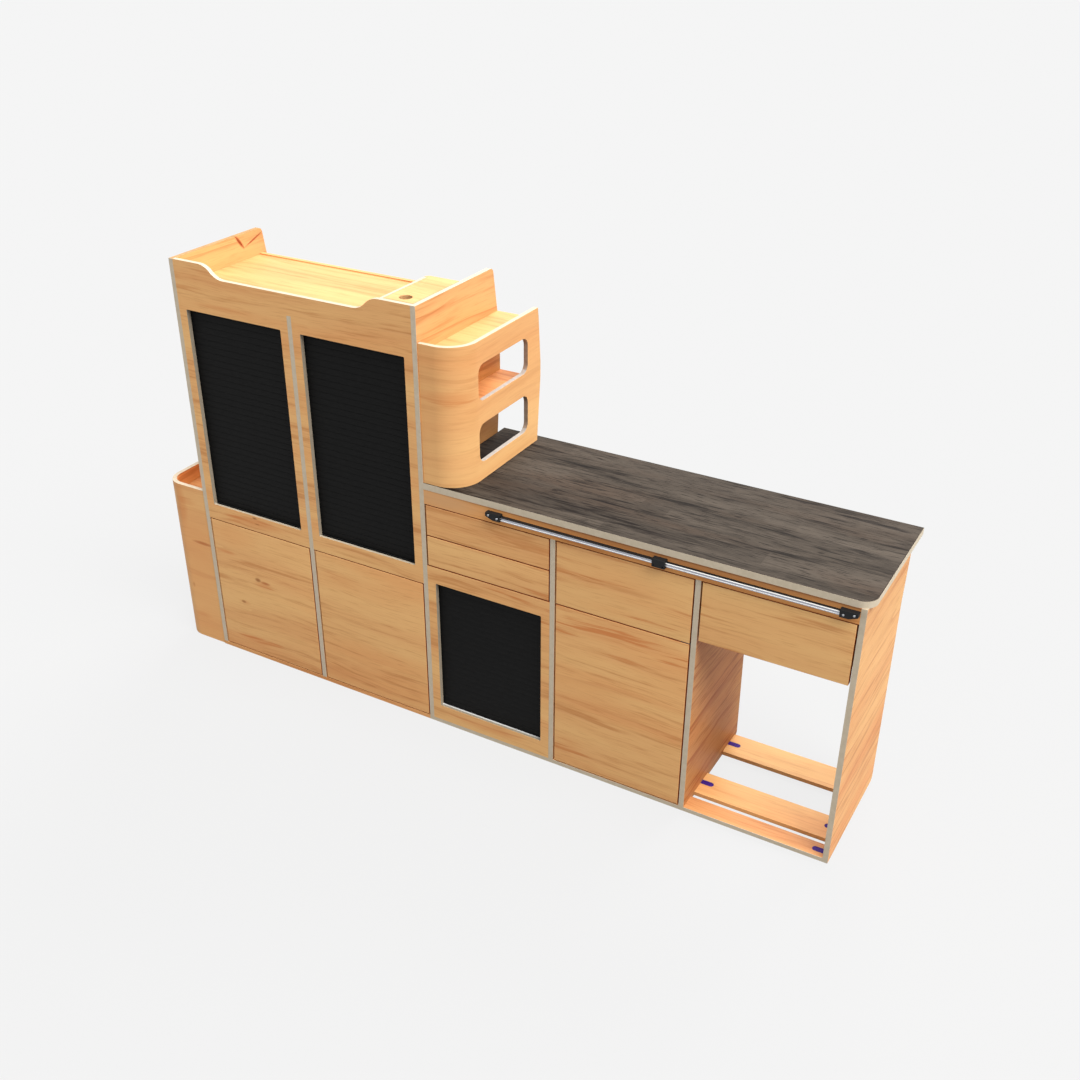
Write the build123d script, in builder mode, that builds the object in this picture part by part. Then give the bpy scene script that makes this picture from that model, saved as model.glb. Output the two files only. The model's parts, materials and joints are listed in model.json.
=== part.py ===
from build123d import *
import os

# Van side cabinet: a tall two bay unit, a three bay base unit with a worktop,
# a shelf pod standing on the worktop and a narrow locker at the left end.
# Millimetres. X runs to the right, Y from the front to the van's wall, Z up.
# The origin is under the middle of the whole cabinet, on the floor.

# Carcass: boards and bays
board = 13.0
bay_width = 355.0
tall_height = 1162.0
counter_height = 718.0
base_thickness = 11.0
thin_board = 12.0
bent_board = 12.0
band = 1.0
bays = 5
tall_bays = 2

# The van's wall, which the back edges follow: depth of each point and its rise from the last
foot_depth = 352.0
foot_chamfer = 9.0
waist_depth = 334.0
waist_rise = 540.0
belt_depth = 350.0
belt_rise = 178.0
shoulder_depth = 366.0
shoulder_rise = 172.0
shoulder_height = 40.0
brow_depth = 356.0
brow_rise = 119.0
crown_depth = 338.0
crown_rise = 113.0
crown_radius = 14.0
wall_gap = 12.0

# Worktop
worktop_depth = 383.0
worktop_core = 16.0
laminate = 1.0
worktop_overhang = 12.0
worktop_band = 2.0
worktop_radius = 35.0

# Face frames and the shutter openings in them
face_board = 12.0
stile = 24.0
face_rail = 47.0
opening_radius = 3.0
door_line = 427.5
opening_drop = 127.5
slot_drop = 87.0

# Scooped top edge of the tall face board
scoop_drop = 33.0
scoop_left = 82.0
scoop_right = 90.0
scoop_run = 77.0

# Tray on top of the tall unit
tray_drop = 70.0
rear_rail_height = 70.0
rear_lip = 3.0
tray_depth = 322.0

# Compartment at the tray's right end and its lid
deck_width = 93.0
deck_depth = 207.0
deck_wall = 9.0
deck_radius = 13.0
deck_batten = 14.0
lid_gap = 0.5
lid_hole_radius = 16.0
lid_hole_inset = 42.0
lid_hole_depth = 44.0

# Corner key let into the left upright
key_start = 231.0
key_point_depth = 262.0
key_point_drop = 37.0
key_end_drop = 11.0
key_gap = 0.4

# Doors, their pivots and catches
door_board = 16.0
door_gap = 3.0
side_gap = 3.8
soft_edge = 1.5
pivot_inset = 9.0
pivot_depth = 6.0
pin_radius = 2.5
pin_in_door = 10.0
pin_in_face = 10.0
pin_in_base = 7.0
pin_play = 0.05
pin_end_gap = 1.0
plate_thickness = 1.6
plate_length = 26.0
plate_depth = 40.0
plate_setback = 1.5
flange_height = 28.0
catch_width = 10.0
catch_depth = 14.0
catch_height = 30.0
catch_level = 300.0
catch_gap = 0.5

# Front rail and drawers
front_rail_height = 39.0
drawer_space = 174.0
right_front_height = 155.0
drawer_wall = 12.0
drawer_length = 290.0
drawer_bottom = 6.0
box_above_front_edge = 12.0
box_below_front_edge = 20.0
slide_space = 13.0
slide_height = 35.0
slide_wall = 1.5
slide_channel = 9.0
slide_play = 0.4
slide_length = 280.0
slide_setback = 4.0

# Shutters: curtain, lead bar and tracks
curtain_thickness = 5.0
curtain_groove = 1.2
rib_height = 17.0
lead_bar = 16.0
lead_bar_gap = 0.5
track_width = 14.0
track_wall = 1.5
track_play = 0.7
track_end_play = 1.0
track_radius = 34.0
track_rear_gap = 4.0
track_below_opening = 4.0
track_top_gap = 4.0
upper_rear_leg = 296.0
low_rear_leg = 254.5

# Inner shelves and rear rails
shelf_setback = 24.0
cupboard_shelf_level = 214.0
shelf_below_track = 2.0
middle_shelf_rise = 282.0
shelf_clear_of_track = 14.0
rail_board_height = 60.0
tall_rail_drop = 14.0
base_rail_drop = 48.0

# Open bay: front strip, slats and the plugs in their slots
strip_depth = 48.0
front_slat_depth = 68.0
rear_slat_depth = 252.0
slat_width = 84.0
plug_length = 33.0
plug_width = 16.0
plug_height = 5.0
strip_plug_depth = 24.0
front_plug_inset = 46.0
rear_plug_inset = 42.0

# Bolt holes through the base board and the rear rail
floor_hole_radius = 3.5
floor_hole_front = 70.0
floor_hole_spacing = 220.0
wall_hole_radius = 3.0
wall_hole_spacing = 480.0
wall_hole_below_lip = 40.0

# Table rail on the front rail, its brackets and screws
rail_size = 10.0
rail_drop = 23.5
rail_insert = 1.5
rail_insert_margin = 1.0
bracket_drop = 7.5
bracket_projection = 16.0
end_bracket_length = 40.0
end_bracket_height = 17.5
end_bracket_tip = 9.5
end_bracket_projection = 14.0
end_bracket_flat = 20.0
bracket_socket = 5.0
socket_play = 0.2
left_bracket_inset = 185.0
right_bracket_inset = 1.0
middle_bracket_width = 32.0
middle_bracket_height = 20.5
middle_bracket_inset = 102.0
middle_hole_radius = 2.0
middle_hole_depth = 3.0
middle_hole_margin = 5.0
screw_head_radius = 2.6
screw_head = 1.2
screw_radius = 1.5
screw_in_rail = 9.0
screw_play = 0.1
first_screw = 8.5
second_screw = 31.5
screw_above_edge = 7.0

# Shelf pod on the worktop
pod_width = 115.0
pod_setback = 3.0
pod_height = 356.0
pod_radius = 76.0
pod_behind_upright = 8.0
pod_recess = 26.0
window_front = 80.0
window_length = 230.0
window_radius = 24.0
window_foot = 46.0
low_window_height = 100.0
window_bridge = 59.0
window_head = 59.0
pod_shelf_above_window = 25.0

# Locker at the left end
locker_width = 147.0
locker_setback = 2.0
locker_height = 506.0
locker_radius = 55.0
locker_recess = 43.0

# Places worked out from the sizes above
low_shutter_bay = tall_bays
low_door_bay = bays - 2
pitch = bay_width + board
cabinet_length = bays * pitch + board
overall_length = locker_width + cabinet_length + worktop_overhang
overall_depth = bracket_projection + worktop_depth
x_tall = locker_width - overall_length / 2
y_front = bracket_projection - overall_depth / 2
x_upright = [x_tall + number * pitch for number in range(bays + 1)]
x_bay = [x + board for x in x_upright[:bays]]
x_base = x_bay[tall_bays]
x_end = x_upright[bays]
x_first = x_upright[low_door_bay]
x_second = x_upright[bays - 1]
x_open = x_bay[bays - 1]
x_worktop_end = x_end + board + worktop_overhang
worktop_underside = counter_height - laminate - worktop_core
front_rail_bottom = worktop_underside - front_rail_height
drawer_line = front_rail_bottom - drawer_space
rail_level = worktop_underside - rail_drop
bracket_top = worktop_underside - bracket_drop
tray_top = tall_height - tray_drop
tray_floor = tray_top - thin_board
slot_top = tall_height - slot_drop
face_bottom = door_line + door_gap / 2
door_top = door_line - door_gap / 2
door_bottom = base_thickness + door_gap
upper_opening = face_bottom + face_rail
upper_opening_top = tall_height - opening_drop
base_face_top = drawer_line - door_gap / 2
low_opening = base_thickness + face_rail
low_opening_top = base_face_top - face_rail
rear_rail_top = tray_top + rear_lip
rear_rail_bottom = rear_rail_top - rear_rail_height
track_slot = curtain_thickness + 2 * track_play
track_band = track_slot + 2 * track_wall
track_depth = min(waist_depth - wall_gap - thin_board, tray_depth) - face_board - track_rear_gap
y_curtain = y_front + face_board + track_wall + track_play
drawer_front_bottom = drawer_line + door_gap / 2
drawer_front_top = front_rail_bottom - door_gap
small_front = (drawer_front_top - drawer_front_bottom - door_gap) / 2
open_bay_line = drawer_front_top - right_front_height
locker_shelf_level = upper_opening - track_below_opening - shelf_below_track - board
middle_shelf_level = locker_shelf_level + board + middle_shelf_rise
front_plug_depth = front_slat_depth + front_plug_inset
rear_plug_depth = rear_slat_depth + rear_plug_inset
low_window_bottom = counter_height + window_foot
low_window_top = low_window_bottom + low_window_height
high_window_bottom = low_window_top + window_bridge
high_window_height = counter_height + pod_height - window_head - high_window_bottom
pod_shelf_top = low_window_top + pod_shelf_above_window
waist_height = waist_rise
belt_height = waist_height + belt_rise
shoulder_low = belt_height + shoulder_rise
shoulder_high = shoulder_low + shoulder_height
brow_height = shoulder_high + brow_rise
wall_points = [
    (0.0, foot_depth),
    (waist_height, waist_depth),
    (belt_height, belt_depth),
    (shoulder_low, shoulder_depth),
    (shoulder_high, shoulder_depth),
    (brow_height, brow_depth),
    (brow_height + crown_rise, crown_depth),
]


def wall_depth(height):
    """Depth of the boards at a height, along the line of the van's wall."""
    for (low, near), (high, far) in zip(wall_points, wall_points[1:]):
        if height <= high:
            return near + (far - near) * (height - low) / (high - low)
    return crown_depth


def wall_line(bottom, top, extra=0.0):
    """Points of the back edge from a bottom height to a top height."""
    inner = [height for height, depth in wall_points if bottom < height < top]
    return [(y_front + wall_depth(height) + extra, height) for height in [bottom, *inner, top]]


os.makedirs("parts", exist_ok=True)


def save(shape, label):
    """Label one sub-part and write its STEP file."""
    shape.label = label
    export_step(shape, f"parts/{label}.step")


def save_group(pieces, label):
    """Write several separate solids as one sub-part."""
    save(Compound(children=list(pieces)), label)


def block(x0, x1, y0, y1, z0, z1):
    """A plain board between two corners."""
    with BuildPart() as piece:
        with BuildSketch(Plane.XY.offset(z0)):
            with Locations(((x0 + x1) / 2, (y0 + y1) / 2)):
                Rectangle(x1 - x0, y1 - y0)
        extrude(amount=z1 - z0)
    return piece.part


def drilled(solid, x, y, z0, z1, radius):
    """The solid with one upright hole from z0 to z1."""
    with BuildPart() as piece:
        add(solid)
        with BuildSketch(Plane.XY.offset(z0)):
            with Locations((x, y)):
                Circle(radius)
        extrude(amount=z1 - z0, mode=Mode.SUBTRACT)
    return piece.part


def upright(x0, bottom, top, cut_back=0.0):
    """A side board whose back edge follows the wall; its front stands behind the edge band."""
    with BuildPart() as piece:
        with BuildSketch(Plane.YZ.offset(x0)):
            with BuildLine():
                Polyline(
                    (y_front + band, bottom),
                    *wall_line(bottom, top, -cut_back),
                    (y_front + band, top),
                    close=True,
                )
            make_face()
        extrude(amount=board)
        back_foot = piece.edges().filter_by(Axis.X).group_by(Axis.Z)[0].sort_by(Axis.Y)[-1]
        chamfer(back_foot, foot_chamfer)
    return piece.part


def soft_front(solid):
    """The solid with the edges of its front face rounded."""
    with BuildPart() as piece:
        add(solid)
        fillet(piece.faces().sort_by(Axis.Y)[0].edges(), soft_edge)
    return piece.part


def cut(solid, x0, x1, y0, y1, z0, z1):
    """The solid less a block."""
    with BuildPart() as piece:
        add(solid)
        with BuildSketch(Plane.XY.offset(z0)):
            with Locations(((x0 + x1) / 2, (y0 + y1) / 2)):
                Rectangle(x1 - x0, y1 - y0)
        extrude(amount=z1 - z0, mode=Mode.SUBTRACT)
    return piece.part


# Left upright, with the seat of its corner key
def key_space(gap):
    """The corner of the left upright behind two joint lines, drawn in by a gap."""
    rise = (key_point_drop - key_end_drop) / (crown_depth - key_point_depth)
    beyond = 2 * board
    with BuildPart() as piece:
        with BuildSketch(Plane.YZ.offset(x_upright[0])):
            with BuildLine():
                Polyline(
                    (y_front + key_start + gap, tall_height + board),
                    (y_front + key_start + gap, tall_height),
                    (y_front + key_point_depth, tall_height - key_point_drop + gap),
                    (
                        y_front + crown_depth + beyond,
                        tall_height - key_end_drop + rise * beyond + gap,
                    ),
                    (y_front + crown_depth + beyond, tall_height + board),
                    close=True,
                )
            make_face()
        extrude(amount=board)
    return piece.part


def tall_upright(x0, bottom):
    """One of the two outer uprights of the tall unit, with its rounded top back corner."""
    with BuildPart() as piece:
        add(upright(x0, bottom, tall_height))
        top_back_edge = piece.edges().filter_by(Axis.X).group_by(Axis.Z)[-1].sort_by(Axis.Y)[-1]
        fillet(top_back_edge, crown_radius)
    return piece.part


with BuildPart() as left_upright:
    add(tall_upright(x_upright[0], base_thickness))
    add(key_space(0.0), mode=Mode.SUBTRACT)
save(left_upright.part, "left_upright")

with BuildPart() as corner_key:
    add(tall_upright(x_upright[0], base_thickness))
    add(key_space(key_gap), mode=Mode.INTERSECT)
save(corner_key.part, "corner_key")

# Middle divider, notched over the face board, the tray rail and the tray floor
with BuildPart() as middle_divider:
    add(upright(x_upright[1], base_thickness, tray_floor))
    add(
        block(
            x_upright[1], x_bay[1], y_front, y_front + face_board, slot_top, tray_top,
        ),
        mode=Mode.SUBTRACT,
    )
    add(
        block(
            x_upright[1], x_bay[1], y_front + tray_depth,
            y_front + tray_depth + shoulder_depth, rear_rail_bottom, tray_top,
        ),
        mode=Mode.SUBTRACT,
    )
save(middle_divider.part, "middle_divider")

# Right upright, which stands on the floor
save(tall_upright(x_upright[tall_bays], 0.0), "right_upright")

# Tall face board: two openings, the divider's slot and the scooped top edge
x_scoop_left = x_bay[0] + scoop_left
x_scoop_right = x_upright[tall_bays] - scoop_right
z_scoop = tall_height - scoop_drop
bore_height = pin_in_face + pin_end_gap


def opening_sketch(bay, bottom, top):
    """One shutter opening between the stiles of a bay, seen from the front."""
    with BuildSketch() as hole:
        with Locations((x_bay[bay] + bay_width / 2, (bottom + top) / 2)):
            RectangleRounded(bay_width - 2 * stile, top - bottom, opening_radius)
    return hole.sketch


def tall_hinge_x(bay):
    """Place of the door's pivot: at the outer side of each of the two tall bays."""
    if bay == 0:
        return x_bay[bay] + side_gap + pivot_inset
    return x_bay[bay] + bay_width - side_gap - pivot_inset


with BuildPart() as tall_face:
    with BuildSketch(Plane.XZ.offset(-y_front - face_board)):
        with BuildLine():
            Line((x_bay[0], face_bottom), (x_upright[tall_bays], face_bottom))
            Line((x_upright[tall_bays], face_bottom), (x_upright[tall_bays], tall_height))
            Line((x_upright[tall_bays], tall_height), (x_scoop_right, tall_height))
            TangentArc(
                (x_scoop_right, tall_height),
                (x_scoop_right - scoop_run / 2, tall_height - scoop_drop / 2),
                tangent=(-1, 0),
            )
            TangentArc(
                (x_scoop_right - scoop_run, z_scoop),
                (x_scoop_right - scoop_run / 2, tall_height - scoop_drop / 2),
                tangent=(1, 0),
            )
            Line((x_scoop_right - scoop_run, z_scoop), (x_scoop_left + scoop_run, z_scoop))
            TangentArc(
                (x_scoop_left + scoop_run, z_scoop),
                (x_scoop_left + scoop_run / 2, tall_height - scoop_drop / 2),
                tangent=(-1, 0),
            )
            TangentArc(
                (x_scoop_left, tall_height),
                (x_scoop_left + scoop_run / 2, tall_height - scoop_drop / 2),
                tangent=(1, 0),
            )
            Line((x_scoop_left, tall_height), (x_bay[0], tall_height))
            Line((x_bay[0], tall_height), (x_bay[0], face_bottom))
        make_face()
        for bay in range(tall_bays):
            add(opening_sketch(bay, upper_opening, upper_opening_top), mode=Mode.SUBTRACT)
        with Locations((x_upright[1] + board / 2, (face_bottom + slot_top) / 2)):
            Rectangle(board, slot_top - face_bottom, mode=Mode.SUBTRACT)
    extrude(amount=face_board)
    for bay in range(tall_bays):
        with BuildSketch(Plane.XY.offset(face_bottom)):
            with Locations((tall_hinge_x(bay), y_front + pivot_depth)):
                Circle(pin_radius + pin_play)
        extrude(amount=bore_height, mode=Mode.SUBTRACT)
save(tall_face.part, "tall_face_board")

# Tall base board, with the lower bores of the two doors' pivots
tall_base = block(
    x_upright[0], x_upright[tall_bays], y_front, y_front + foot_depth - foot_chamfer, 0.0,
    base_thickness,
)
for bay in range(tall_bays):
    tall_base = drilled(
        tall_base, tall_hinge_x(bay), y_front + pivot_depth,
        base_thickness - pin_in_base - pin_end_gap, base_thickness, pin_radius + pin_play,
    )
save(tall_base, "tall_base_board")

# Tray floor and the rear rail whose top edge stands above it as a lip
save(
    block(
        x_bay[0], x_upright[tall_bays], y_front + face_board, y_front + tray_depth, tray_floor,
        tray_top,
    ),
    "tray_floor",
)
x_rail_middle = (x_bay[0] + x_upright[tall_bays]) / 2
with BuildPart() as tray_rail:
    add(
        block(
            x_bay[0], x_upright[tall_bays], y_front + tray_depth,
            y_front + tray_depth + thin_board, rear_rail_bottom, rear_rail_top,
        )
    )
    with BuildSketch(Plane.XZ.offset(-y_front - tray_depth - thin_board)):
        with Locations((x_rail_middle, rear_rail_top - wall_hole_below_lip)):
            with GridLocations(wall_hole_spacing, 0, 2, 1):
                Circle(wall_hole_radius)
    extrude(amount=thin_board, mode=Mode.SUBTRACT)
save(tray_rail.part, "tray_rear_rail")

# Compartment at the right end of the tray: left wall, rear wall and a front batten
x_deck = x_upright[tall_bays] - deck_width
lid_bottom = tall_height - thin_board
deck_walls = [
    block(
        x_deck, x_deck + deck_wall, y_front + face_board, y_front + deck_depth - deck_radius,
        tray_top, tall_height,
    ),
    block(
        x_deck + deck_wall, x_upright[tall_bays], y_front + deck_depth - deck_radius - deck_wall,
        y_front + deck_depth - deck_radius, tray_top, lid_bottom - lid_gap,
    ),
    block(
        x_deck + deck_wall, x_upright[tall_bays], y_front + face_board,
        y_front + face_board + deck_wall, lid_bottom - lid_gap - deck_batten, lid_bottom - lid_gap,
    ),
]
save_group(deck_walls, "tray_compartment_walls")

# Lid of the compartment, with its finger hole and its rounded rear corner
with BuildPart() as deck_lid:
    with BuildSketch(Plane.XY.offset(lid_bottom)) as lid_outline:
        with BuildLine():
            Polyline(
                (x_deck + deck_wall + lid_gap, y_front + face_board + lid_gap),
                (x_upright[tall_bays] - lid_gap, y_front + face_board + lid_gap),
                (x_upright[tall_bays] - lid_gap, y_front + deck_depth),
                (x_deck, y_front + deck_depth),
                (x_deck, y_front + deck_depth - deck_radius + lid_gap),
                (
                    x_deck + deck_wall + lid_gap,
                    y_front + deck_depth - deck_radius + lid_gap,
                ),
                close=True,
            )
        make_face()
        rear_corner = lid_outline.vertices().group_by(Axis.X)[0].sort_by(Axis.Y)[-1]
        fillet(rear_corner, deck_radius - 2 * lid_gap)
        with Locations((x_upright[tall_bays] - lid_hole_inset, y_front + lid_hole_depth)):
            Circle(lid_hole_radius, mode=Mode.SUBTRACT)
    extrude(amount=thin_board)
save(deck_lid.part, "compartment_lid")


# Doors: a plain inset board with soft front edges and two pivot bores
def door(bay, hinge_x, top):
    """One door between its gaps, bored at the hinge side."""
    leaf = soft_front(
        block(
            x_bay[bay] + side_gap, x_bay[bay] + bay_width - side_gap, y_front,
            y_front + door_board, door_bottom, top,
        )
    )
    depth = pin_in_door + pin_end_gap
    pivot_y = y_front + pivot_depth
    leaf = drilled(leaf, hinge_x, pivot_y, door_bottom, door_bottom + depth, pin_radius + pin_play)
    return drilled(leaf, hinge_x, pivot_y, top - depth, top, pin_radius + pin_play)


low_hinge_x = x_bay[low_door_bay] + bay_width - side_gap - pivot_inset
low_door_top = base_face_top
save(door(0, tall_hinge_x(0), door_top), "left_door")
save(door(1, tall_hinge_x(1), door_top), "right_door")
save(door(low_door_bay, low_hinge_x, low_door_top), "low_door")


def pin(x, z0, z1):
    """One upright pivot pin."""
    with BuildPart() as piece:
        with BuildSketch(Plane.XY.offset(z0)):
            with Locations((x, y_front + pivot_depth)):
                Circle(pin_radius)
        extrude(amount=z1 - z0)
    return piece.part


# Pivot plate: it lies in the joint above the low door and carries that door's upper pin
plate_z = low_door_top + (door_gap - plate_thickness) / 2
x_plate_end = x_bay[low_door_bay] + bay_width
with BuildPart() as pivot_plate:
    add(
        block(
            x_plate_end - plate_length, x_plate_end, y_front + plate_setback,
            y_front + plate_depth, plate_z, plate_z + plate_thickness,
        )
    )
    add(
        block(
            x_plate_end - plate_thickness, x_plate_end, y_front + door_board + door_gap,
            y_front + plate_depth, plate_z, plate_z + flange_height,
        )
    )
    add(pin(low_hinge_x, low_door_top - pin_in_door, plate_z + plate_thickness))
pivots = [pivot_plate.part]
for hinge_x in (tall_hinge_x(0), tall_hinge_x(1), low_hinge_x):
    pivots.append(pin(hinge_x, base_thickness - pin_in_base, door_bottom + pin_in_door))
for hinge_x in (tall_hinge_x(0), tall_hinge_x(1)):
    pivots.append(pin(hinge_x, door_top - pin_in_door, face_bottom + pin_in_face))
save_group(pivots, "door_pivots")

# Push catches behind the free edge of each door
y_catch = y_front + door_board + catch_gap
catches = []
for x0 in (x_upright[1] - catch_width, x_bay[1], x_bay[low_door_bay]):
    catches.append(
        block(
            x0, x0 + catch_width, y_catch, y_catch + catch_depth, catch_level,
            catch_level + catch_height,
        )
    )
save_group(catches, "door_catches")


# Shutters
def rib_points(bottom, top):
    """Front outline of a ribbed curtain: a shallow V groove between equal ribs."""
    ribs = max(1, round((top - bottom) / rib_height))
    step = (top - bottom) / ribs
    points = [(y_curtain, bottom)]
    for number in range(1, ribs):
        height = bottom + number * step
        points.append((y_curtain, height - curtain_groove))
        points.append((y_curtain + curtain_groove, height))
        points.append((y_curtain, height + curtain_groove))
    points.append((y_curtain, top))
    return points


def curtain(bay, bottom, top):
    """The ribbed sheet between the lead bar and the bend of the tracks."""
    x0 = x_bay[bay] + track_wall + track_end_play
    with BuildPart() as piece:
        with BuildSketch(Plane.YZ.offset(x0)):
            with BuildLine():
                Polyline(
                    *rib_points(bottom, top),
                    (y_curtain + curtain_thickness, top),
                    (y_curtain + curtain_thickness, bottom),
                    close=True,
                )
            make_face()
        extrude(amount=bay_width - 2 * (track_wall + track_end_play))
    return piece.part


def lead(bay, bottom):
    """The stiff bar at the curtain's lower edge."""
    x0 = x_bay[bay] + track_wall + track_end_play
    x1 = x_bay[bay] + bay_width - track_wall - track_end_play
    return block(x0, x1, y_curtain, y_curtain + curtain_thickness, bottom, bottom + lead_bar)


def track_loop(inset, front_leg, rear_leg, top):
    """Side view of a band that goes up, back and down again, drawn in by inset."""
    y0 = y_front + face_board + inset
    y1 = y_front + face_board + track_depth - inset
    wide = track_band - 2 * inset
    with BuildSketch() as loop:
        with BuildLine():
            Polyline(
                (y0, front_leg), (y0, top - inset), (y1, top - inset), (y1, rear_leg),
                (y1 - wide, rear_leg), (y1 - wide, top - inset - wide),
                (y0 + wide, top - inset - wide), (y0 + wide, front_leg),
                close=True,
            )
        make_face()
        outer = loop.vertices().group_by(Axis.Y)[-1]
        fillet(outer, track_radius - inset)
        inner = loop.vertices().filter_by_position(
            Axis.Y, top - inset - wide - track_play, top - inset - wide + track_play
        )
        fillet(inner, track_radius - inset - wide)
    return loop.sketch


def track(x0, side, front_leg, rear_leg, top):
    """One grooved track; side is 1 where it opens to the right and -1 to the left."""
    with BuildPart() as piece:
        with BuildSketch(Plane.YZ.offset(x0)):
            add(track_loop(0.0, front_leg, rear_leg, top))
        extrude(amount=side * track_width)
        with BuildSketch(Plane.YZ.offset(x0 + side * track_wall)):
            add(track_loop(track_wall, front_leg, rear_leg, top))
        extrude(amount=side * track_width, mode=Mode.SUBTRACT)
    return piece.part


upper_track_top = tray_floor - track_top_gap
low_track_top = base_face_top - track_top_gap / 2
upper_bend = upper_track_top - track_radius
low_bend = low_track_top - track_radius
upper_bar_bottom = upper_opening + lead_bar_gap
low_bar_bottom = low_opening + lead_bar_gap
for bay, side_name in enumerate(("left", "right")):
    save(
        curtain(bay, upper_bar_bottom + lead_bar + lead_bar_gap, upper_bend),
        f"{side_name}_shutter_curtain",
    )
    save(lead(bay, upper_bar_bottom), f"{side_name}_shutter_lead_bar")
save(
    curtain(low_shutter_bay, low_bar_bottom + lead_bar + lead_bar_gap, low_bend),
    "low_shutter_curtain",
)
save(lead(low_shutter_bay, low_bar_bottom), "low_shutter_lead_bar")

tracks = []
for bay in range(tall_bays):
    for x0, side in ((x_bay[bay], 1), (x_bay[bay] + bay_width, -1)):
        tracks.append(
            track(
                x0, side, upper_opening - track_below_opening,
                upper_track_top - upper_rear_leg, upper_track_top,
            )
        )
for x0, side in ((x_base, 1), (x_base + bay_width, -1)):
    tracks.append(
        track(
            x0, side, low_opening - track_below_opening, low_track_top - low_rear_leg,
            low_track_top,
        )
    )
save_group(tracks, "shutter_tracks")

# Inner shelves: one in each door cupboard, a floor and a middle shelf behind each upper shutter
shelves = []
for bay in (0, 1, low_door_bay):
    back = y_front + wall_depth(cupboard_shelf_level) - wall_gap
    shelves.append(
        block(
            x_bay[bay], x_bay[bay] + bay_width, y_front + shelf_setback + catch_depth, back,
            cupboard_shelf_level, cupboard_shelf_level + thin_board,
        )
    )
for bay in range(tall_bays):
    back = y_front + waist_depth - wall_gap
    shelves.append(
        block(
            x_bay[bay], x_bay[bay] + bay_width, y_front + face_board, back, locker_shelf_level,
            locker_shelf_level + board,
        )
    )
    back = y_front + face_board + track_depth - track_band - shelf_clear_of_track
    shelves.append(
        block(
            x_bay[bay], x_bay[bay] + bay_width, y_front + shelf_setback + shelf_clear_of_track,
            back, middle_shelf_level, middle_shelf_level + thin_board,
        )
    )
save_group(shelves, "inner_shelves")

# Rear rails between the boards: one low in each closed bay, one under the worktop in three bays
rails = []
for bay in range(bays - 1):
    back = y_front + waist_depth - wall_gap
    if bay < tall_bays:
        top = locker_shelf_level - tall_rail_drop
    else:
        top = drawer_line - base_rail_drop
    rails.append(
        block(
            x_bay[bay], x_bay[bay] + bay_width, back - thin_board, back,
            top - rail_board_height, top,
        )
    )
for bay in range(tall_bays, bays):
    back = y_front + waist_depth - wall_gap / 2
    rails.append(
        block(
            x_bay[bay], x_bay[bay] + bay_width, back - thin_board, back,
            worktop_underside - rail_board_height, worktop_underside,
        )
    )
save_group(rails, "rear_rails")


# Open bay: the front strip belongs to the base board, the slats are boards of their own
def plug_outline(x_wall, depth, side):
    """A plug that starts at a wall and ends round; side is 1 to the right of the wall."""
    with BuildSketch() as outline:
        with BuildLine():
            y0 = y_front + depth - plug_width / 2
            y1 = y_front + depth + plug_width / 2
            x_round = x_wall + side * (plug_length - plug_width / 2)
            Line((x_wall, y0), (x_round, y0))
            ThreePointArc(
                (x_round, y0), (x_wall + side * plug_length, y_front + depth), (x_round, y1)
            )
            Line((x_round, y1), (x_wall, y1))
            Line((x_wall, y1), (x_wall, y0))
        make_face()
    return outline.sketch


def plug(x_wall, depth, side):
    """The plug itself, flush with the board that it sits in."""
    with BuildPart() as piece:
        with BuildSketch(Plane.XY.offset(base_thickness - plug_height)):
            add(plug_outline(x_wall, depth, side))
        extrude(amount=plug_height)
    return piece.part


with BuildPart() as base_board:
    with BuildSketch(Plane.XY.offset(0.0)):
        with BuildLine():
            Polyline(
                (x_base, y_front + band), (x_end, y_front + band),
                (x_end, y_front + strip_depth), (x_open - board, y_front + strip_depth),
                (x_open - board, y_front + foot_depth - foot_chamfer),
                (x_base, y_front + foot_depth - foot_chamfer),
                close=True,
            )
        make_face()
        hole_x = x_base + bay_width / 2 + pitch / 2
        hole_y = y_front + floor_hole_front + floor_hole_spacing / 2
        with Locations((hole_x, hole_y)):
            with GridLocations(pitch, floor_hole_spacing, 2, 2):
                Circle(floor_hole_radius, mode=Mode.SUBTRACT)
    extrude(amount=base_thickness)
    with BuildSketch(Plane.XY.offset(base_thickness - plug_height)):
        add(plug_outline(x_end, strip_plug_depth, -1))
    extrude(amount=plug_height, mode=Mode.SUBTRACT)
    with BuildSketch(Plane.XY.offset(base_thickness - pin_in_base - pin_end_gap)):
        with Locations((low_hinge_x, y_front + pivot_depth)):
            Circle(pin_radius + pin_play)
    extrude(amount=pin_in_base + pin_end_gap, mode=Mode.SUBTRACT)
save(base_board.part, "base_board")

slats = []
for front, plug_depth in ((front_slat_depth, front_plug_depth), (rear_slat_depth, rear_plug_depth)):
    with BuildPart() as slat:
        add(block(x_open, x_end, y_front + front, y_front + front + slat_width, 0.0, base_thickness))
        with BuildSketch(Plane.XY.offset(base_thickness - plug_height)):
            add(plug_outline(x_open, plug_depth, 1))
            add(plug_outline(x_end, plug_depth, -1))
        extrude(amount=plug_height, mode=Mode.SUBTRACT)
    slats.append(slat.part)
save_group(slats, "open_bay_slats")

plugs = [plug(x_end, strip_plug_depth, -1)]
for plug_depth in (front_plug_depth, rear_plug_depth):
    plugs.append(plug(x_open, plug_depth, 1))
    plugs.append(plug(x_end, plug_depth, -1))
save_group(plugs, "slot_plugs")


# Dividers of the base unit and the end panel
def rail_notched(solid, x0):
    """The board less the seat of the front rail at its top front corner."""
    return cut(
        solid, x0, x0 + board, y_front, y_front + board, front_rail_bottom, worktop_underside
    )


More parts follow.
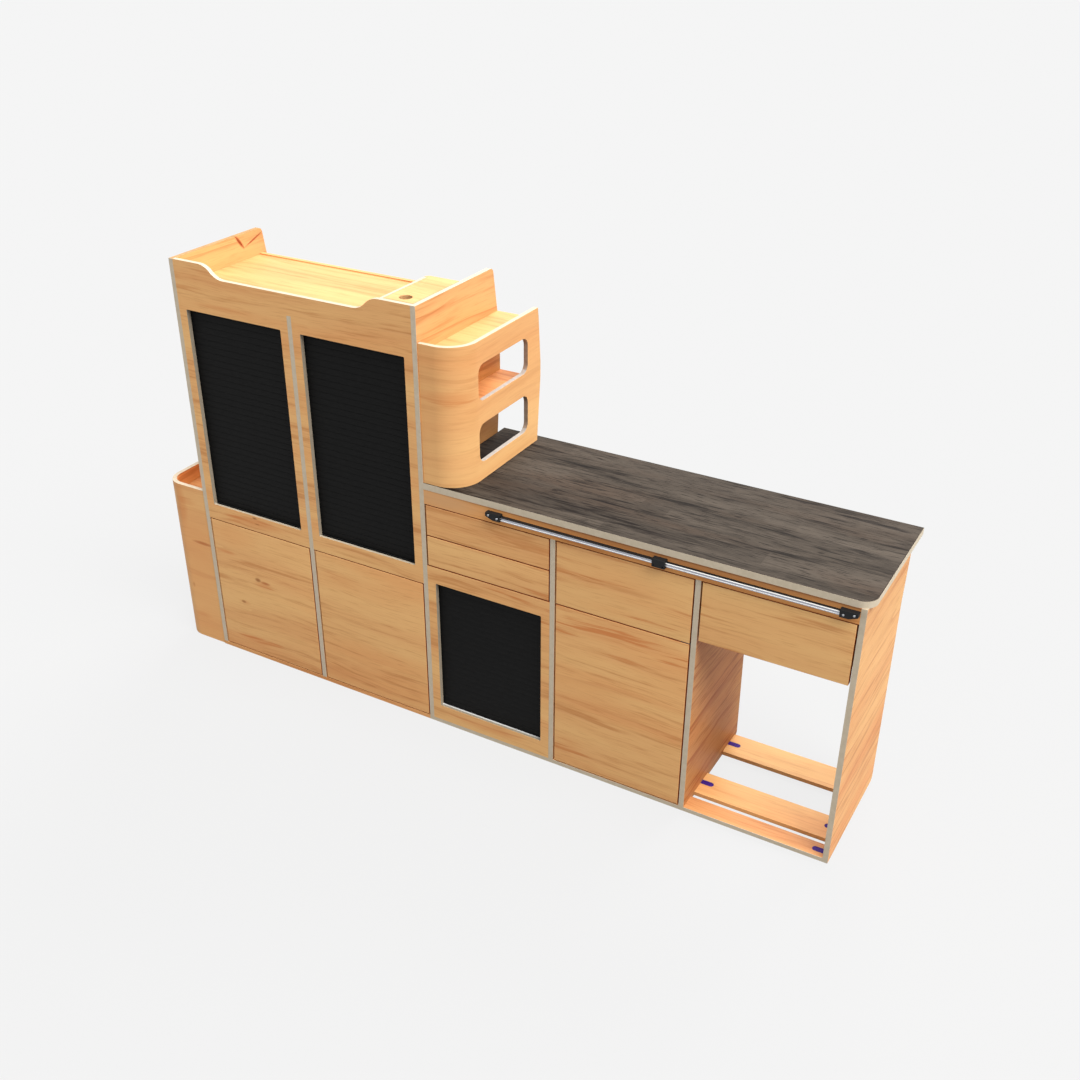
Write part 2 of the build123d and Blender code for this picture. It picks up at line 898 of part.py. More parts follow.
save(
    rail_notched(upright(x_first, base_thickness, worktop_underside), x_first), "first_divider"
)
second_divider = rail_notched(upright(x_second, 0.0, worktop_underside), x_second)
second_divider = cut(
    second_divider, x_second, x_open, y_front, y_front + strip_depth, 0.0, base_thickness
)
save(second_divider, "second_divider")
save(upright(x_end, 0.0, worktop_underside), "end_panel")


# Worktop: board, laminate sheet and edge band
def worktop_outline(inset):
    """Plan of the worktop with its front and right edges drawn in by inset."""
    with BuildSketch() as outline:
        with BuildLine():
            Polyline(
                (x_base, y_front + inset), (x_worktop_end - inset, y_front + inset),
                (x_worktop_end - inset, y_front + worktop_depth),
                (x_base, y_front + worktop_depth),
                close=True,
            )
        make_face()
        fillet(
            outline.vertices().group_by(Axis.X)[-1].sort_by(Axis.Y)[0], worktop_radius - inset
        )
    return outline.sketch


with BuildPart() as worktop_board:
    with BuildSketch(Plane.XY.offset(worktop_underside)):
        add(worktop_outline(worktop_band))
    extrude(amount=worktop_core)
save(worktop_board.part, "worktop_board")

with BuildPart() as worktop_laminate:
    with BuildSketch(Plane.XY.offset(worktop_underside + worktop_core)):
        add(worktop_outline(worktop_band))
    extrude(amount=laminate)
save(worktop_laminate.part, "worktop_laminate")

with BuildPart() as worktop_edge:
    with BuildSketch(Plane.XY.offset(worktop_underside)):
        add(worktop_outline(0.0))
        add(worktop_outline(worktop_band), mode=Mode.SUBTRACT)
    extrude(amount=worktop_core + laminate)
save(worktop_edge.part, "worktop_edge_band")

# Table rail: places of the bar and its brackets along the front rail
x_left_bracket = x_base + left_bracket_inset
x_right_bracket = x_end - right_bracket_inset - end_bracket_length
x_rail_start = x_left_bracket + end_bracket_length - bracket_socket
x_rail_end = x_right_bracket + bracket_socket
x_middle_bracket = x_second - middle_bracket_inset


def screw_places():
    """Place of each bracket screw along X, with the height of its axis."""
    places = []
    for along in (first_screw, second_screw):
        sloping = end_bracket_length - end_bracket_flat
        fall = (end_bracket_height - end_bracket_tip) * min(1.0, along / sloping)
        height = bracket_top - end_bracket_tip - fall + screw_above_edge
        places.append((x_left_bracket + along, height))
        places.append((x_right_bracket + end_bracket_length - along, height))
    return places


# Front rail under the worktop, drilled for the bracket screws
with BuildPart() as front_rail:
    add(block(x_base, x_end, y_front, y_front + board, front_rail_bottom, worktop_underside))
    with BuildSketch(Plane.XZ.offset(-y_front - screw_in_rail)):
        with Locations(*screw_places()):
            Circle(screw_radius + screw_play)
    extrude(amount=screw_in_rail, mode=Mode.SUBTRACT)
save(front_rail.part, "front_rail")

save(
    block(
        x_rail_start, x_rail_end, y_front - rail_size, y_front, rail_level,
        rail_level + rail_size - rail_insert,
    ),
    "table_rail",
)
save(
    block(
        x_rail_start, x_rail_end, y_front - rail_size + rail_insert_margin, y_front,
        rail_level + rail_size - rail_insert, rail_level + rail_size,
    ),
    "table_rail_insert",
)


def rail_socket(x0, x1):
    """The space that the rail needs in a bracket."""
    return block(
        x0, x1, y_front - rail_size - socket_play, y_front, rail_level - socket_play,
        rail_level + rail_size + socket_play,
    )


def end_bracket(x_tip, side):
    """A tapered end bracket; side is 1 where the rail leaves it to the right."""
    x_inner = x_tip + side * end_bracket_length
    x_flat = x_inner - side * end_bracket_flat
    low = bracket_top - end_bracket_height
    x_socket = x_inner - side * (bracket_socket + socket_play)
    with BuildPart() as piece:
        with BuildSketch(Plane.XZ.offset(-y_front)):
            with BuildLine():
                Polyline(
                    (x_tip, bracket_top), (x_tip, bracket_top - end_bracket_tip), (x_flat, low),
                    (x_inner, low), (x_inner, bracket_top),
                    close=True,
                )
            make_face()
            own = [place for place in screw_places() if abs(place[0] - x_tip) < end_bracket_length]
            with Locations(*own):
                Circle(screw_radius + screw_play, mode=Mode.SUBTRACT)
        extrude(amount=end_bracket_projection)
        add(rail_socket(min(x_inner, x_socket), max(x_inner, x_socket)), mode=Mode.SUBTRACT)
    return piece.part


save_group(
    [
        end_bracket(x_left_bracket, 1),
        end_bracket(x_right_bracket + end_bracket_length, -1),
    ],
    "rail_end_brackets",
)

with BuildPart() as middle_bracket:
    add(
        block(
            x_middle_bracket, x_middle_bracket + middle_bracket_width,
            y_front - bracket_projection, y_front, bracket_top - middle_bracket_height,
            bracket_top,
        )
    )
    fillet(middle_bracket.faces().sort_by(Axis.Y)[0].edges(), soft_edge)
    add(
        rail_socket(x_middle_bracket, x_middle_bracket + middle_bracket_width),
        mode=Mode.SUBTRACT,
    )
    with BuildSketch(Plane.XZ.offset(-y_front + bracket_projection - middle_hole_depth)):
        hole_z = bracket_top - middle_bracket_height + middle_hole_margin
        with Locations((x_middle_bracket + middle_bracket_width / 2, hole_z)):
            with GridLocations(middle_bracket_width - 2 * middle_hole_margin, 0, 2, 1):
                Circle(middle_hole_radius)
    extrude(amount=middle_hole_depth, mode=Mode.SUBTRACT)
save(middle_bracket.part, "rail_middle_bracket")

screws = []
for screw_x, screw_z in screw_places():
    with BuildPart() as screw:
        with BuildSketch(Plane.XZ.offset(-y_front + end_bracket_projection)):
            with Locations((screw_x, screw_z)):
                Circle(screw_head_radius)
        extrude(amount=screw_head)
        fillet(screw.faces().sort_by(Axis.Y)[0].edges(), screw_head / 2)
        with BuildSketch(Plane.XZ.offset(-y_front - screw_in_rail)):
            with Locations((screw_x, screw_z)):
                Circle(screw_radius)
        extrude(amount=screw_in_rail + end_bracket_projection)
    screws.append(screw.part)
save_group(screws, "bracket_screws")

# Base face frame around the low shutter
with BuildPart() as base_face:
    with BuildSketch(Plane.XZ.offset(-y_front - face_board)):
        with Locations((x_base + bay_width / 2, (base_thickness + base_face_top) / 2)):
            Rectangle(bay_width, base_face_top - base_thickness)
        add(opening_sketch(low_shutter_bay, low_opening, low_opening_top), mode=Mode.SUBTRACT)
    extrude(amount=face_board)
save(base_face.part, "base_face_frame")

# Drawers: bay, height of the front's lower edge, height of the front, and the name
drawers = [
    (
        low_shutter_bay, drawer_front_bottom + small_front + door_gap, small_front,
        "upper_drawer",
    ),
    (low_shutter_bay, drawer_front_bottom, small_front, "lower_drawer"),
    (
        low_door_bay, drawer_front_bottom, drawer_front_top - drawer_front_bottom,
        "deep_drawer",
    ),
    (bays - 1, open_bay_line, right_front_height, "right_drawer"),
]
fixed_slides = []


def slide_channel_piece(x0, side, z_middle):
    """The fixed C channel of a slide; side is 1 where it opens to the right."""
    y0 = y_front + door_board + slide_setback
    half = slide_height / 2
    with BuildPart() as piece:
        with BuildSketch(Plane.XZ.offset(-y0 - slide_length)):
            with BuildLine():
                Polyline(
                    (x0, z_middle - half), (x0 + side * slide_channel, z_middle - half),
                    (x0 + side * slide_channel, z_middle - half + slide_wall),
                    (x0 + side * slide_wall, z_middle - half + slide_wall),
                    (x0 + side * slide_wall, z_middle + half - slide_wall),
                    (x0 + side * slide_channel, z_middle + half - slide_wall),
                    (x0 + side * slide_channel, z_middle + half), (x0, z_middle + half),
                    close=True,
                )
            make_face()
        extrude(amount=slide_length)
    return piece.part


def slide_bar_piece(x_box, side, z_middle):
    """The moving member on the drawer's side, inside the channel."""
    y0 = y_front + door_board + slide_setback
    half = slide_height / 2 - slide_wall - slide_play
    bar = slide_space - slide_wall - slide_play
    x0 = min(x_box, x_box - side * bar)
    return block(x0, x0 + bar, y0, y0 + slide_length, z_middle - half, z_middle + half)


for bay, front_bottom, front_height, name in drawers:
    x0 = x_bay[bay]
    x1 = x0 + bay_width
    save(
        soft_front(
            block(
                x0 + side_gap, x1 - side_gap, y_front, y_front + door_board, front_bottom,
                front_bottom + front_height,
            )
        ),
        f"{name}_front",
    )
    box0 = x0 + slide_space
    box1 = x1 - slide_space
    y0 = y_front + door_board
    y1 = y0 + drawer_length
    low = front_bottom + box_above_front_edge
    high = front_bottom + front_height - box_below_front_edge
    inner0 = box0 + drawer_wall
    inner1 = box1 - drawer_wall
    save_group(
        [
            block(box0, inner0, y0, y1, low, high),
            block(inner1, box1, y0, y1, low, high),
            block(inner0, inner1, y0, y0 + drawer_wall, low, high),
            block(inner0, inner1, y1 - drawer_wall, y1, low, high),
            block(
                inner0, inner1, y0 + drawer_wall, y1 - drawer_wall, low, low + drawer_bottom
            ),
        ],
        f"{name}_box",
    )
    z_middle = (low + high) / 2
    save_group(
        [slide_bar_piece(box0, 1, z_middle), slide_bar_piece(box1, -1, z_middle)],
        f"{name}_slides",
    )
    fixed_slides.append(slide_channel_piece(x0, 1, z_middle))
    fixed_slides.append(slide_channel_piece(x1, -1, z_middle))
save_group(fixed_slides, "fixed_slides")


# Shelf pod: a board bent round the front right corner, with two windows in its side
def bent_outline(x_wall, side, width, setback, radius, depth, inset):
    """Plan of the space that a bent board encloses beside a wall, drawn in by inset."""
    x_far = x_wall + side * (width - inset)
    y0 = y_front + setback + inset
    with BuildSketch() as outline:
        with BuildLine():
            Polyline(
                (x_wall, y0), (x_far, y0), (x_far, y_front + depth), (x_wall, y_front + depth),
                close=True,
            )
        make_face()
        columns = outline.vertices().group_by(Axis.X)
        far_side = columns[-1] if side > 0 else columns[0]
        fillet(far_side.sort_by(Axis.Y)[0], radius - inset)
    return outline.sketch


def behind_wall(x0, x1, bottom, top, extra):
    """Everything behind the line of the van's wall, between two heights."""
    y_far = y_front + worktop_depth + shoulder_depth
    with BuildPart() as piece:
        with BuildSketch(Plane.YZ.offset(x0)):
            with BuildLine():
                Polyline(*wall_line(bottom, top, extra), (y_far, top), (y_far, bottom), close=True)
            make_face()
        extrude(amount=x1 - x0)
    return piece.part


pod_depth = shoulder_depth + pod_behind_upright
x_pod_end = x_base + pod_width
pod_top = counter_height + pod_height
with BuildPart() as pod_wrap:
    with BuildSketch(Plane.XY.offset(counter_height)):
        add(bent_outline(x_base, 1, pod_width, pod_setback, pod_radius, pod_depth, 0.0))
        with BuildSketch(mode=Mode.PRIVATE) as pod_hollow:
            add(
                bent_outline(
                    x_base, 1, pod_width, pod_setback, pod_radius, pod_depth, bent_board
                )
            )
        add(pod_hollow.sketch, mode=Mode.SUBTRACT)
    extrude(amount=pod_height)
    add(
        behind_wall(x_base, x_pod_end + board, counter_height, pod_top, pod_behind_upright),
        mode=Mode.SUBTRACT,
    )
    with BuildSketch(Plane.YZ.offset(x_pod_end - 2 * bent_board)):
        for bottom, height in (
            (low_window_bottom, low_window_height),
            (high_window_bottom, high_window_height),
        ):
            with Locations(
                (y_front + window_front + window_length / 2, bottom + height / 2)
            ):
                RectangleRounded(window_length, height, window_radius)
    extrude(amount=2 * bent_board, mode=Mode.SUBTRACT)
save(pod_wrap.part, "pod_bent_board")


def pod_shelf(top):
    """A board that fills the pod's plan at one height."""
    depth = wall_depth(top)
    with BuildPart() as piece:
        with BuildSketch(Plane.XY.offset(top - thin_board)):
            add(bent_outline(x_base, 1, pod_width, pod_setback, pod_radius, depth, bent_board))
        extrude(amount=thin_board)
    return piece.part


save(pod_shelf(pod_top - pod_recess), "pod_top_board")
save(pod_shelf(pod_shelf_top), "pod_middle_shelf")

# Locker at the left end: bent board, recessed top and floor
x_locker = x_tall - locker_width
with BuildPart() as locker_wrap:
    with BuildSketch(Plane.XY.offset(0.0)):
        add(
            bent_outline(
                x_tall, -1, locker_width, locker_setback, locker_radius, foot_depth, 0.0
            )
        )
        with BuildSketch(mode=Mode.PRIVATE) as locker_hollow:
            add(
                bent_outline(
                    x_tall, -1, locker_width, locker_setback, locker_radius, foot_depth,
                    bent_board,
                )
            )
        add(locker_hollow.sketch, mode=Mode.SUBTRACT)
    extrude(amount=locker_height)
    add(behind_wall(x_locker - board, x_tall, 0.0, locker_height, 0.0), mode=Mode.SUBTRACT)
save(locker_wrap.part, "locker_bent_board")


def locker_board(bottom, thickness):
    """A board that fills the locker's plan from one height up."""
    depth = wall_depth(bottom + thickness)
    with BuildPart() as piece:
        with BuildSketch(Plane.XY.offset(bottom)):
            add(
                bent_outline(
                    x_tall, -1, locker_width, locker_setback, locker_radius, depth, bent_board
                )
            )
        extrude(amount=thickness)
    return piece.part


save(locker_board(locker_height - locker_recess - thin_board, thin_board), "locker_top_board")
save(locker_board(0.0, base_thickness), "locker_floor_board")

# Front edge bands of the uprights, the dividers, the end panel and the base board
bands = []
for x0, bottom, top in (
    (x_upright[0], base_thickness, tall_height),
    (x_upright[1], base_thickness, slot_top),
    (x_upright[2], 0.0, tall_height),
    (x_first, base_thickness, front_rail_bottom),
    (x_second, base_thickness, front_rail_bottom),
    (x_end, 0.0, worktop_underside),
):
    bands.append(block(x0, x0 + board, y_front, y_front + band, bottom, top))
bands.append(block(x_base, x_end, y_front, y_front + band, 0.0, base_thickness))
save_group(bands, "front_edge_bands")
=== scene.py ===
"""Looks of a van side cabinet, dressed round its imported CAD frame, in metres."""

import json
import logging
import math
from dataclasses import dataclass, replace
from enum import Enum
from typing import Callable, Iterable, Iterator, Optional, Sequence, Union

import bmesh
import bpy
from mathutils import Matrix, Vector


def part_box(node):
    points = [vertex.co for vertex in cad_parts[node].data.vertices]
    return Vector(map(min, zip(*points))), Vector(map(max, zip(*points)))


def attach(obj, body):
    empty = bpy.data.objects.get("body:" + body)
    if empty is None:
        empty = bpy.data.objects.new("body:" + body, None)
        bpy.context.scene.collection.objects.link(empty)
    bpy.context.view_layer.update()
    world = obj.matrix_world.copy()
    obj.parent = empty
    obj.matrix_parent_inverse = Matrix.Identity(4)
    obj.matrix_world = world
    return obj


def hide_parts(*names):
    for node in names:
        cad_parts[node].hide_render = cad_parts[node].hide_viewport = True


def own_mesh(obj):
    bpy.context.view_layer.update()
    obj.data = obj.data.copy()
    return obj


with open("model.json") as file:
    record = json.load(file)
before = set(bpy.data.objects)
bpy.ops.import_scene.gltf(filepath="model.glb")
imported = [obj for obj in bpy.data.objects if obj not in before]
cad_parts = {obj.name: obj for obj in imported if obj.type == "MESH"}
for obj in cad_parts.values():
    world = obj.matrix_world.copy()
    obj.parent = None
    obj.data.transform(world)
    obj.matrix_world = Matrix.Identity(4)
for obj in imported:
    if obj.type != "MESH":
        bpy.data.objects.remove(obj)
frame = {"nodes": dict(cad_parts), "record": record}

log = logging.getLogger("cabinet")

Colour = tuple[float, float, float, float]
Profile = tuple[tuple[float, float], ...]
Value = Union[bpy.types.NodeSocket, bpy.types.ID, float, int, Sequence[float]]
Given = dict[Union[str, int], Value]

BOARD_ATTRIBUTE = "board"
MILLIMETRE = 0.001
AXES = "XYZ"
# The least share of a face's normal along an axis for the face to look along that axis.
SQUARE_ON = 0.7
HALF_ON = 0.5
SHUTTER_NAMES = ("left", "right", "low")
DRAWER_NAMES = ("upper", "lower", "deep", "right")
# The curve of display colours: its top, straight foot, offset and power.
FULL, FOOT, SLOPE, OFFSET, POWER = 255, 0.04045, 12.92, 0.055, 2.4


def srgb(red: float, green: float, blue: float) -> Colour:
    """Turns a display colour into the linear colour that a shader takes.

    Args:
        red: Red from 0 to 255.
        green: Green from 0 to 255.
        blue: Blue from 0 to 255.

    Returns:
        The linear colour with full alpha.
    """
    def linear(value: float) -> float:
        """One channel made linear."""
        share = value / FULL
        return share / SLOPE if share <= FOOT else ((share + OFFSET) / (1 + OFFSET)) ** POWER

    return (linear(red), linear(green), linear(blue), 1.0)


class Wiring:
    """Adds and joins the nodes of one tree."""

    FIRST_COLOUR = 6
    SECOND_COLOUR = 7
    MIXED_COLOUR = 2

    def __init__(self, tree: bpy.types.NodeTree) -> None:
        """Starts from a tree, which it empties."""
        self.tree = tree
        self.tree.nodes.clear()

    def fill(self, node: bpy.types.Node, given: Given) -> None:
        """Links a node's inputs to sockets, or sets their values.

        Args:
            node: The node.
            given: What each named or numbered input gets.
        """
        for name, value in given.items():
            if isinstance(value, bpy.types.NodeSocket):
                self.tree.links.new(value, node.inputs[name])
            else:
                node.inputs[name].default_value = value

    def add(
        self, kind: str, given: Optional[Given] = None, **settings: object
    ) -> bpy.types.Node:
        """Adds one node.

        Args:
            kind: The node's type name.
            given: What its inputs get.
            **settings: Properties to set on it first.

        Returns:
            The new node.
        """
        node = self.tree.nodes.new(kind)
        for name, value in settings.items():
            setattr(node, name, value)
        self.fill(node, given or {})
        return node

    def made(
        self, kind: str, given: Optional[Given] = None, **settings: object
    ) -> bpy.types.NodeSocket:
        """The first output of a node that is added in the same way."""
        return self.add(kind, given, **settings).outputs[0]

    def math(self, operation: str, *values: Value) -> bpy.types.NodeSocket:
        """The result of one step of arithmetic."""
        return self.made("ShaderNodeMath", dict(enumerate(values)), operation=operation)

    def times(self, first: Value, second: Value) -> bpy.types.NodeSocket:
        """The product of two values."""
        return self.math("MULTIPLY", first, second)

    def plus(self, first: Value, second: Value) -> bpy.types.NodeSocket:
        """The sum of two values."""
        return self.math("ADD", first, second)

    def remap(
        self, value: Value, low: float, high: float, to_low: float = 0.0, to_high: float = 1.0
    ) -> bpy.types.NodeSocket:
        """A value whose range is mapped smoothly to another, and kept there."""
        given = dict(enumerate((value, low, high, to_low, to_high)))
        return self.made("ShaderNodeMapRange", given, interpolation_type="SMOOTHSTEP")

    def vector(self, x: Value, y: Value, z: Value) -> bpy.types.NodeSocket:
        """Three values joined into a vector."""
        return self.made("ShaderNodeCombineXYZ", {"X": x, "Y": y, "Z": z})

    def noise(self, place: Value, detail: float, roughness: float) -> bpy.types.NodeSocket:
        """Noise from 0 to 1 over a place that is already scaled."""
        given = {"Vector": place, "Scale": 1.0, "Detail": detail, "Roughness": roughness}
        return self.made("ShaderNodeTexNoise", given)

    def blend(self, share: Value, first: Value, second: Value) -> bpy.types.NodeSocket:
        """Two colours mixed, with the given share of the second."""
        given = {"Factor": share, self.FIRST_COLOUR: first, self.SECOND_COLOUR: second}
        return self.add("ShaderNodeMix", given, data_type="RGBA").outputs[self.MIXED_COLOUR]

    def group(self, tree: bpy.types.NodeTree, given: Given) -> bpy.types.Node:
        """A shared group placed with its own values."""
        return self.add("ShaderNodeGroup", given, node_tree=tree)


def shader_group(
    name: str, inputs: dict[str, float], outputs: Sequence[str]
) -> tuple[Wiring, bpy.types.Node, bpy.types.Node]:
    """Starts a shader group with named number inputs and outputs.

    Args:
        name: The group's name.
        inputs: Each input's name and usual value.
        outputs: Names of the outputs.

    Returns:
        The wiring, the group's input node and its output node.
    """
    tree = bpy.data.node_groups.new(name, "ShaderNodeTree")
    for label, usual in inputs.items():
        socket = tree.interface.new_socket(
            name=label, in_out="INPUT", socket_type="NodeSocketFloat"
        )
        socket.default_value = usual
    for label in outputs:
        tree.interface.new_socket(name=label, in_out="OUTPUT", socket_type="NodeSocketFloat")
    wiring = Wiring(tree)
    return wiring, wiring.add("NodeGroupInput"), wiring.add("NodeGroupOutput")


class Cut(Enum):
    """How the grain lies in a face: which coordinates run along and across it."""

    FRONT = "front"
    SIDE = "side"
    TOP = "top"
    WRAP = "wrap"
    TURN = "turn"


class Finish(Enum):
    """What a face is finished in."""

    FRONT_WOOD = "front_wood"
    # Front maple in painted shade, on the front rail under the worktop.
    RAIL_WOOD = "front_rail_wood"
    SIDE_WOOD = "side_wood"
    PANEL_WOOD = "end_panel_wood"
    SHADE_WOOD = "divider_wood"
    KEY_WOOD = "keyed_upright_wood"
    INNER_WOOD = "pod_inner_wood"
    NOOK_WOOD = "pod_nook_wood"
    SHELF_WOOD = "pod_shelf_wood"
    SLAT_WOOD = "slat_wood"
    TOP_WOOD = "top_wood"
    STRIP_WOOD = "base_strip_wood"
    WRAP_WOOD = "wrap_wood"
    SHELL_WOOD = "locker_shell_wood"
    LOCKER_WOOD = "locker_wall_wood"
    LOCKER_FLOOR = "locker_floor_wood"
    EDGE_WOOD = "scorched_edge"
    JOINT_WOOD = "scorched_joint"
    TOP_EDGE = "upright_top_edge"
    BAND = "edge_band"
    REVEAL = "opening_reveal"
    RIM = "window_rim"
    LEDGE = "window_ledge"
    PLY_ACROSS = "ply_edge_across"
    PLY_DEEP = "ply_edge_deep"
    PLY_UP = "ply_edge_up"
    OAK = "dark_oak"
    SHUTTER = "shutter_black"
    TRACK = "track_black"
    ALUMINIUM = "satin_aluminium"
    BRIGHT = "bright_aluminium"
    STEEL = "zinc_steel"
    SLIDE = "dark_slide"
    BRACKET = "bracket_black"
    PLUG = "purple_plug"


@dataclass(frozen=True)
class Wood:
    """Colours of one wood and how strongly each part of its figure shows."""

    light: Colour
    base: Colour
    streak: Colour
    warm: Colour
    ring: Colour
    streak_share: float
    vein_share: float
    pale_share: float
    warm_share: float
    ring_share: float
    strip_share: float
    seam_share: float
    strip_width: float
    roughness: float = 0.52
    gloss: float = 0.20
    along_scale: float = 1.0
    across_scale: float = 1.0
    plank_length: float = 400.0
    wave: float = 1.0
    smoother: float = 0.05
    rougher: float = 0.07
    relief: float = 0.12

    def shaded(self, red: float, green: float, blue: float, **changes: float) -> "Wood":
        """The same wood in another tone.

        Args:
            red: Share of the red that stays.
            green: Share of the green that stays.
            blue: Share of the blue that stays.
            **changes: Other fields to change.

        Returns:
            The new wood.
        """
        tones = {
            name: tuple(
                value * share for value, share in zip(getattr(self, name), (red, green, blue, 1.0))
            )
            for name in ("light", "base", "streak", "warm", "ring")
        }
        return replace(self, **tones, **changes)


MAPLE_LIGHT = srgb(232, 183, 121)
MAPLE_BASE = srgb(224, 168, 110)
MAPLE_STREAK = srgb(180, 110, 54)
MAPLE_WARM = srgb(222, 150, 92)
MAPLE_RING = srgb(184, 104, 54)
MAPLE_RED = srgb(204, 122, 66)
KNOT_BROWN = srgb(142, 80, 36)
RED_BROWN = srgb(176, 92, 44)
MAPLE_DULL = srgb(206, 160, 114)
JOINT_RED = srgb(160, 72, 30)
# Tints of the painted shadow under the worktop's edge on the front rail.
RAIL_SHADE = srgb(166, 110, 64)
RAIL_SHADOW_LINE = srgb(118, 76, 42)
# Tint of the painted shade at the foot of the divider in the open bay.
FOOT_SHADE_RED = srgb(150, 86, 48)
OAK_DARK = srgb(24, 17, 14)

FRONT_MAPLE = Wood(
    MAPLE_LIGHT, MAPLE_BASE, MAPLE_STREAK, MAPLE_WARM, MAPLE_RING,
    streak_share=0.50, vein_share=0.29, pale_share=0.35, warm_share=0.50, ring_share=0.22,
    strip_share=0.04, seam_share=0.0, strip_width=0.12,
)
SIDE_MAPLE = Wood(
    MAPLE_LIGHT, MAPLE_BASE, MAPLE_STREAK, MAPLE_WARM, MAPLE_RING,
    streak_share=0.42, vein_share=0.30, pale_share=0.20, warm_share=0.60, ring_share=0.70,
    strip_share=0.16, seam_share=0.55, strip_width=0.11,
)
TOP_MAPLE = Wood(
    MAPLE_LIGHT, MAPLE_BASE, MAPLE_STREAK, MAPLE_WARM, MAPLE_RING,
    streak_share=0.40, vein_share=0.32, pale_share=0.10, warm_share=0.30, ring_share=0.22,
    strip_share=0.16, seam_share=0.30, strip_width=0.042,
)
POD_MAPLE = replace(
    FRONT_MAPLE, streak_share=0.22, vein_share=0.14, pale_share=0.25, warm_share=0.45,
    ring_share=0.10,
)
# Front maple darkened as painted shade, for the front rail under the worktop.
RAIL_SHADED_MAPLE = FRONT_MAPLE.shaded(1.0, 0.84, 0.66)
PANEL_MAPLE = SIDE_MAPLE.shaded(
    0.94, 0.91, 0.89, streak_share=0.60, vein_share=0.45, seam_share=0.80
)
# Side maple darkened as painted shade, with stronger streaks, for the divider's face in the open bay.
SHADE_MAPLE = SIDE_MAPLE.shaded(
    0.76, 0.69, 0.62, streak_share=0.95, vein_share=0.75, ring_share=0.90
)
# Painted shade inside the pod: on the right upright's face below the shelf, between the shelf and the
# top, and on the shelf's top.
POD_SHADE_MAPLE = SIDE_MAPLE.shaded(0.64, 0.54, 0.48)
NOOK_SHADE_MAPLE = SIDE_MAPLE.shaded(0.90, 0.75, 0.58, streak_share=0.60)
SHELF_SHADE_MAPLE = TOP_MAPLE.shaded(0.98, 0.80, 0.66, streak_share=0.55)
# Top maple lightened as painted light, with fainter streaks, for the slats under the worktop in the
# open bay.
SLAT_LIT_MAPLE = TOP_MAPLE.shaded(1.10, 1.12, 1.06, streak_share=0.30, vein_share=0.26)
STRIP_MAPLE = TOP_MAPLE.shaded(0.84, 0.72, 0.64, streak_share=0.55)
# Painted shade in the locker's recess beside the tall unit: darker, more orange walls and floor.
LOCKER_SHADE_MAPLE = FRONT_MAPLE.shaded(0.92, 0.80, 0.70)
LOCKER_FLOOR_SHADE_MAPLE = TOP_MAPLE.shaded(0.84, 0.76, 0.70)
DARK_OAK = Wood(
    srgb(85, 76, 67), srgb(69, 61, 53), srgb(24, 19, 16), srgb(72, 57, 46), srgb(22, 17, 14),
    streak_share=0.92, vein_share=1.00, pale_share=0.50, warm_share=0.55, ring_share=0.30,
    strip_share=0.40, seam_share=0.30, strip_width=0.048, roughness=0.72, gloss=0.06,
    along_scale=1.8, across_scale=1.2, plank_length=0.80, wave=0.25,
)


@dataclass(frozen=True)
class Mark:
    """A knot, stain, scorched line or patch of painted shade: its place, half sizes, depth,
    raggedness, tint and lean.
    """

    along: float
    across: float
    half_length: float
    half_height: float
    depth: float
    ragged: float
    tint: Colour
    lean: float = 0.0


FRONT_MARKS = (
    Mark(-0.6750, 0.2560, 0.0520, 0.0220, 0.55, 0.80, MAPLE_RED),
    Mark(-0.6945, 0.2681, 0.0140, 0.0090, 0.80, 0.25, KNOT_BROWN),
    Mark(-0.6680, 0.2641, 0.0230, 0.0065, 0.75, 0.30, RED_BROWN),
    Mark(-0.7550, 0.1771, 0.0330, 0.0100, 0.45, 0.60, MAPLE_RED),
    Mark(-0.7592, 0.1771, 0.0120, 0.0065, 0.62, 0.25, KNOT_BROWN),
    Mark(-0.8000, 0.3300, 0.0500, 0.0090, 0.60, 0.50, MAPLE_RED),
    Mark(-0.6765, 0.4550, 0.1600, 0.0220, 0.75, 0.70, MAPLE_RED),
    Mark(-0.6781, 0.4691, 0.0120, 0.0040, 0.80, 0.30, KNOT_BROWN),
    Mark(-0.6713, 0.4521, 0.0120, 0.0030, 0.60, 0.30, KNOT_BROWN),
    Mark(-0.7000, 1.1200, 0.2500, 0.0500, 0.30, 0.80, MAPLE_WARM),
    Mark(-0.7000, 1.0560, 0.1700, 0.0120, 0.60, 0.90, MAPLE_RED),
    Mark(-0.7700, 0.3900, 0.1300, 0.0600, 0.45, 0.60, MAPLE_WARM),
    Mark(0.4400, 0.6000, 0.2500, 0.0700, 0.40, 0.80, MAPLE_WARM),
    Mark(0.4400, 0.5800, 0.1900, 0.0120, 0.55, 0.90, MAPLE_STREAK),
    Mark(0.0700, 0.0350, 0.1700, 0.0200, 0.50, 0.80, MAPLE_RED),
    Mark(-0.7285, 0.0545, 0.1100, 0.0300, 0.70, 1.10, MAPLE_RED),
    Mark(-0.3903, 0.3595, 0.1100, 0.0500, 0.45, 1.20, MAPLE_RED),
    Mark(-0.3306, 0.0368, 0.0400, 0.0070, 0.50, 0.80, MAPLE_STREAK),
    Mark(0.4500, 0.4600, 0.3400, 0.0720, 0.70, 1.20, MAPLE_RED),
    Mark(0.3079, 0.0790, 0.0700, 0.0550, 0.40, 1.20, MAPLE_RED),
    Mark(-0.7014, 1.0791, 0.0900, 0.0080, 0.45, 0.80, MAPLE_STREAK),
    Mark(0.1053, 0.4793, 0.1900, 0.0100, 0.50, 0.90, MAPLE_RED),
)
POD_MARKS = (
    Mark(-0.2000, 0.9500, 0.1500, 0.0230, 0.50, 0.60, MAPLE_RED),
)
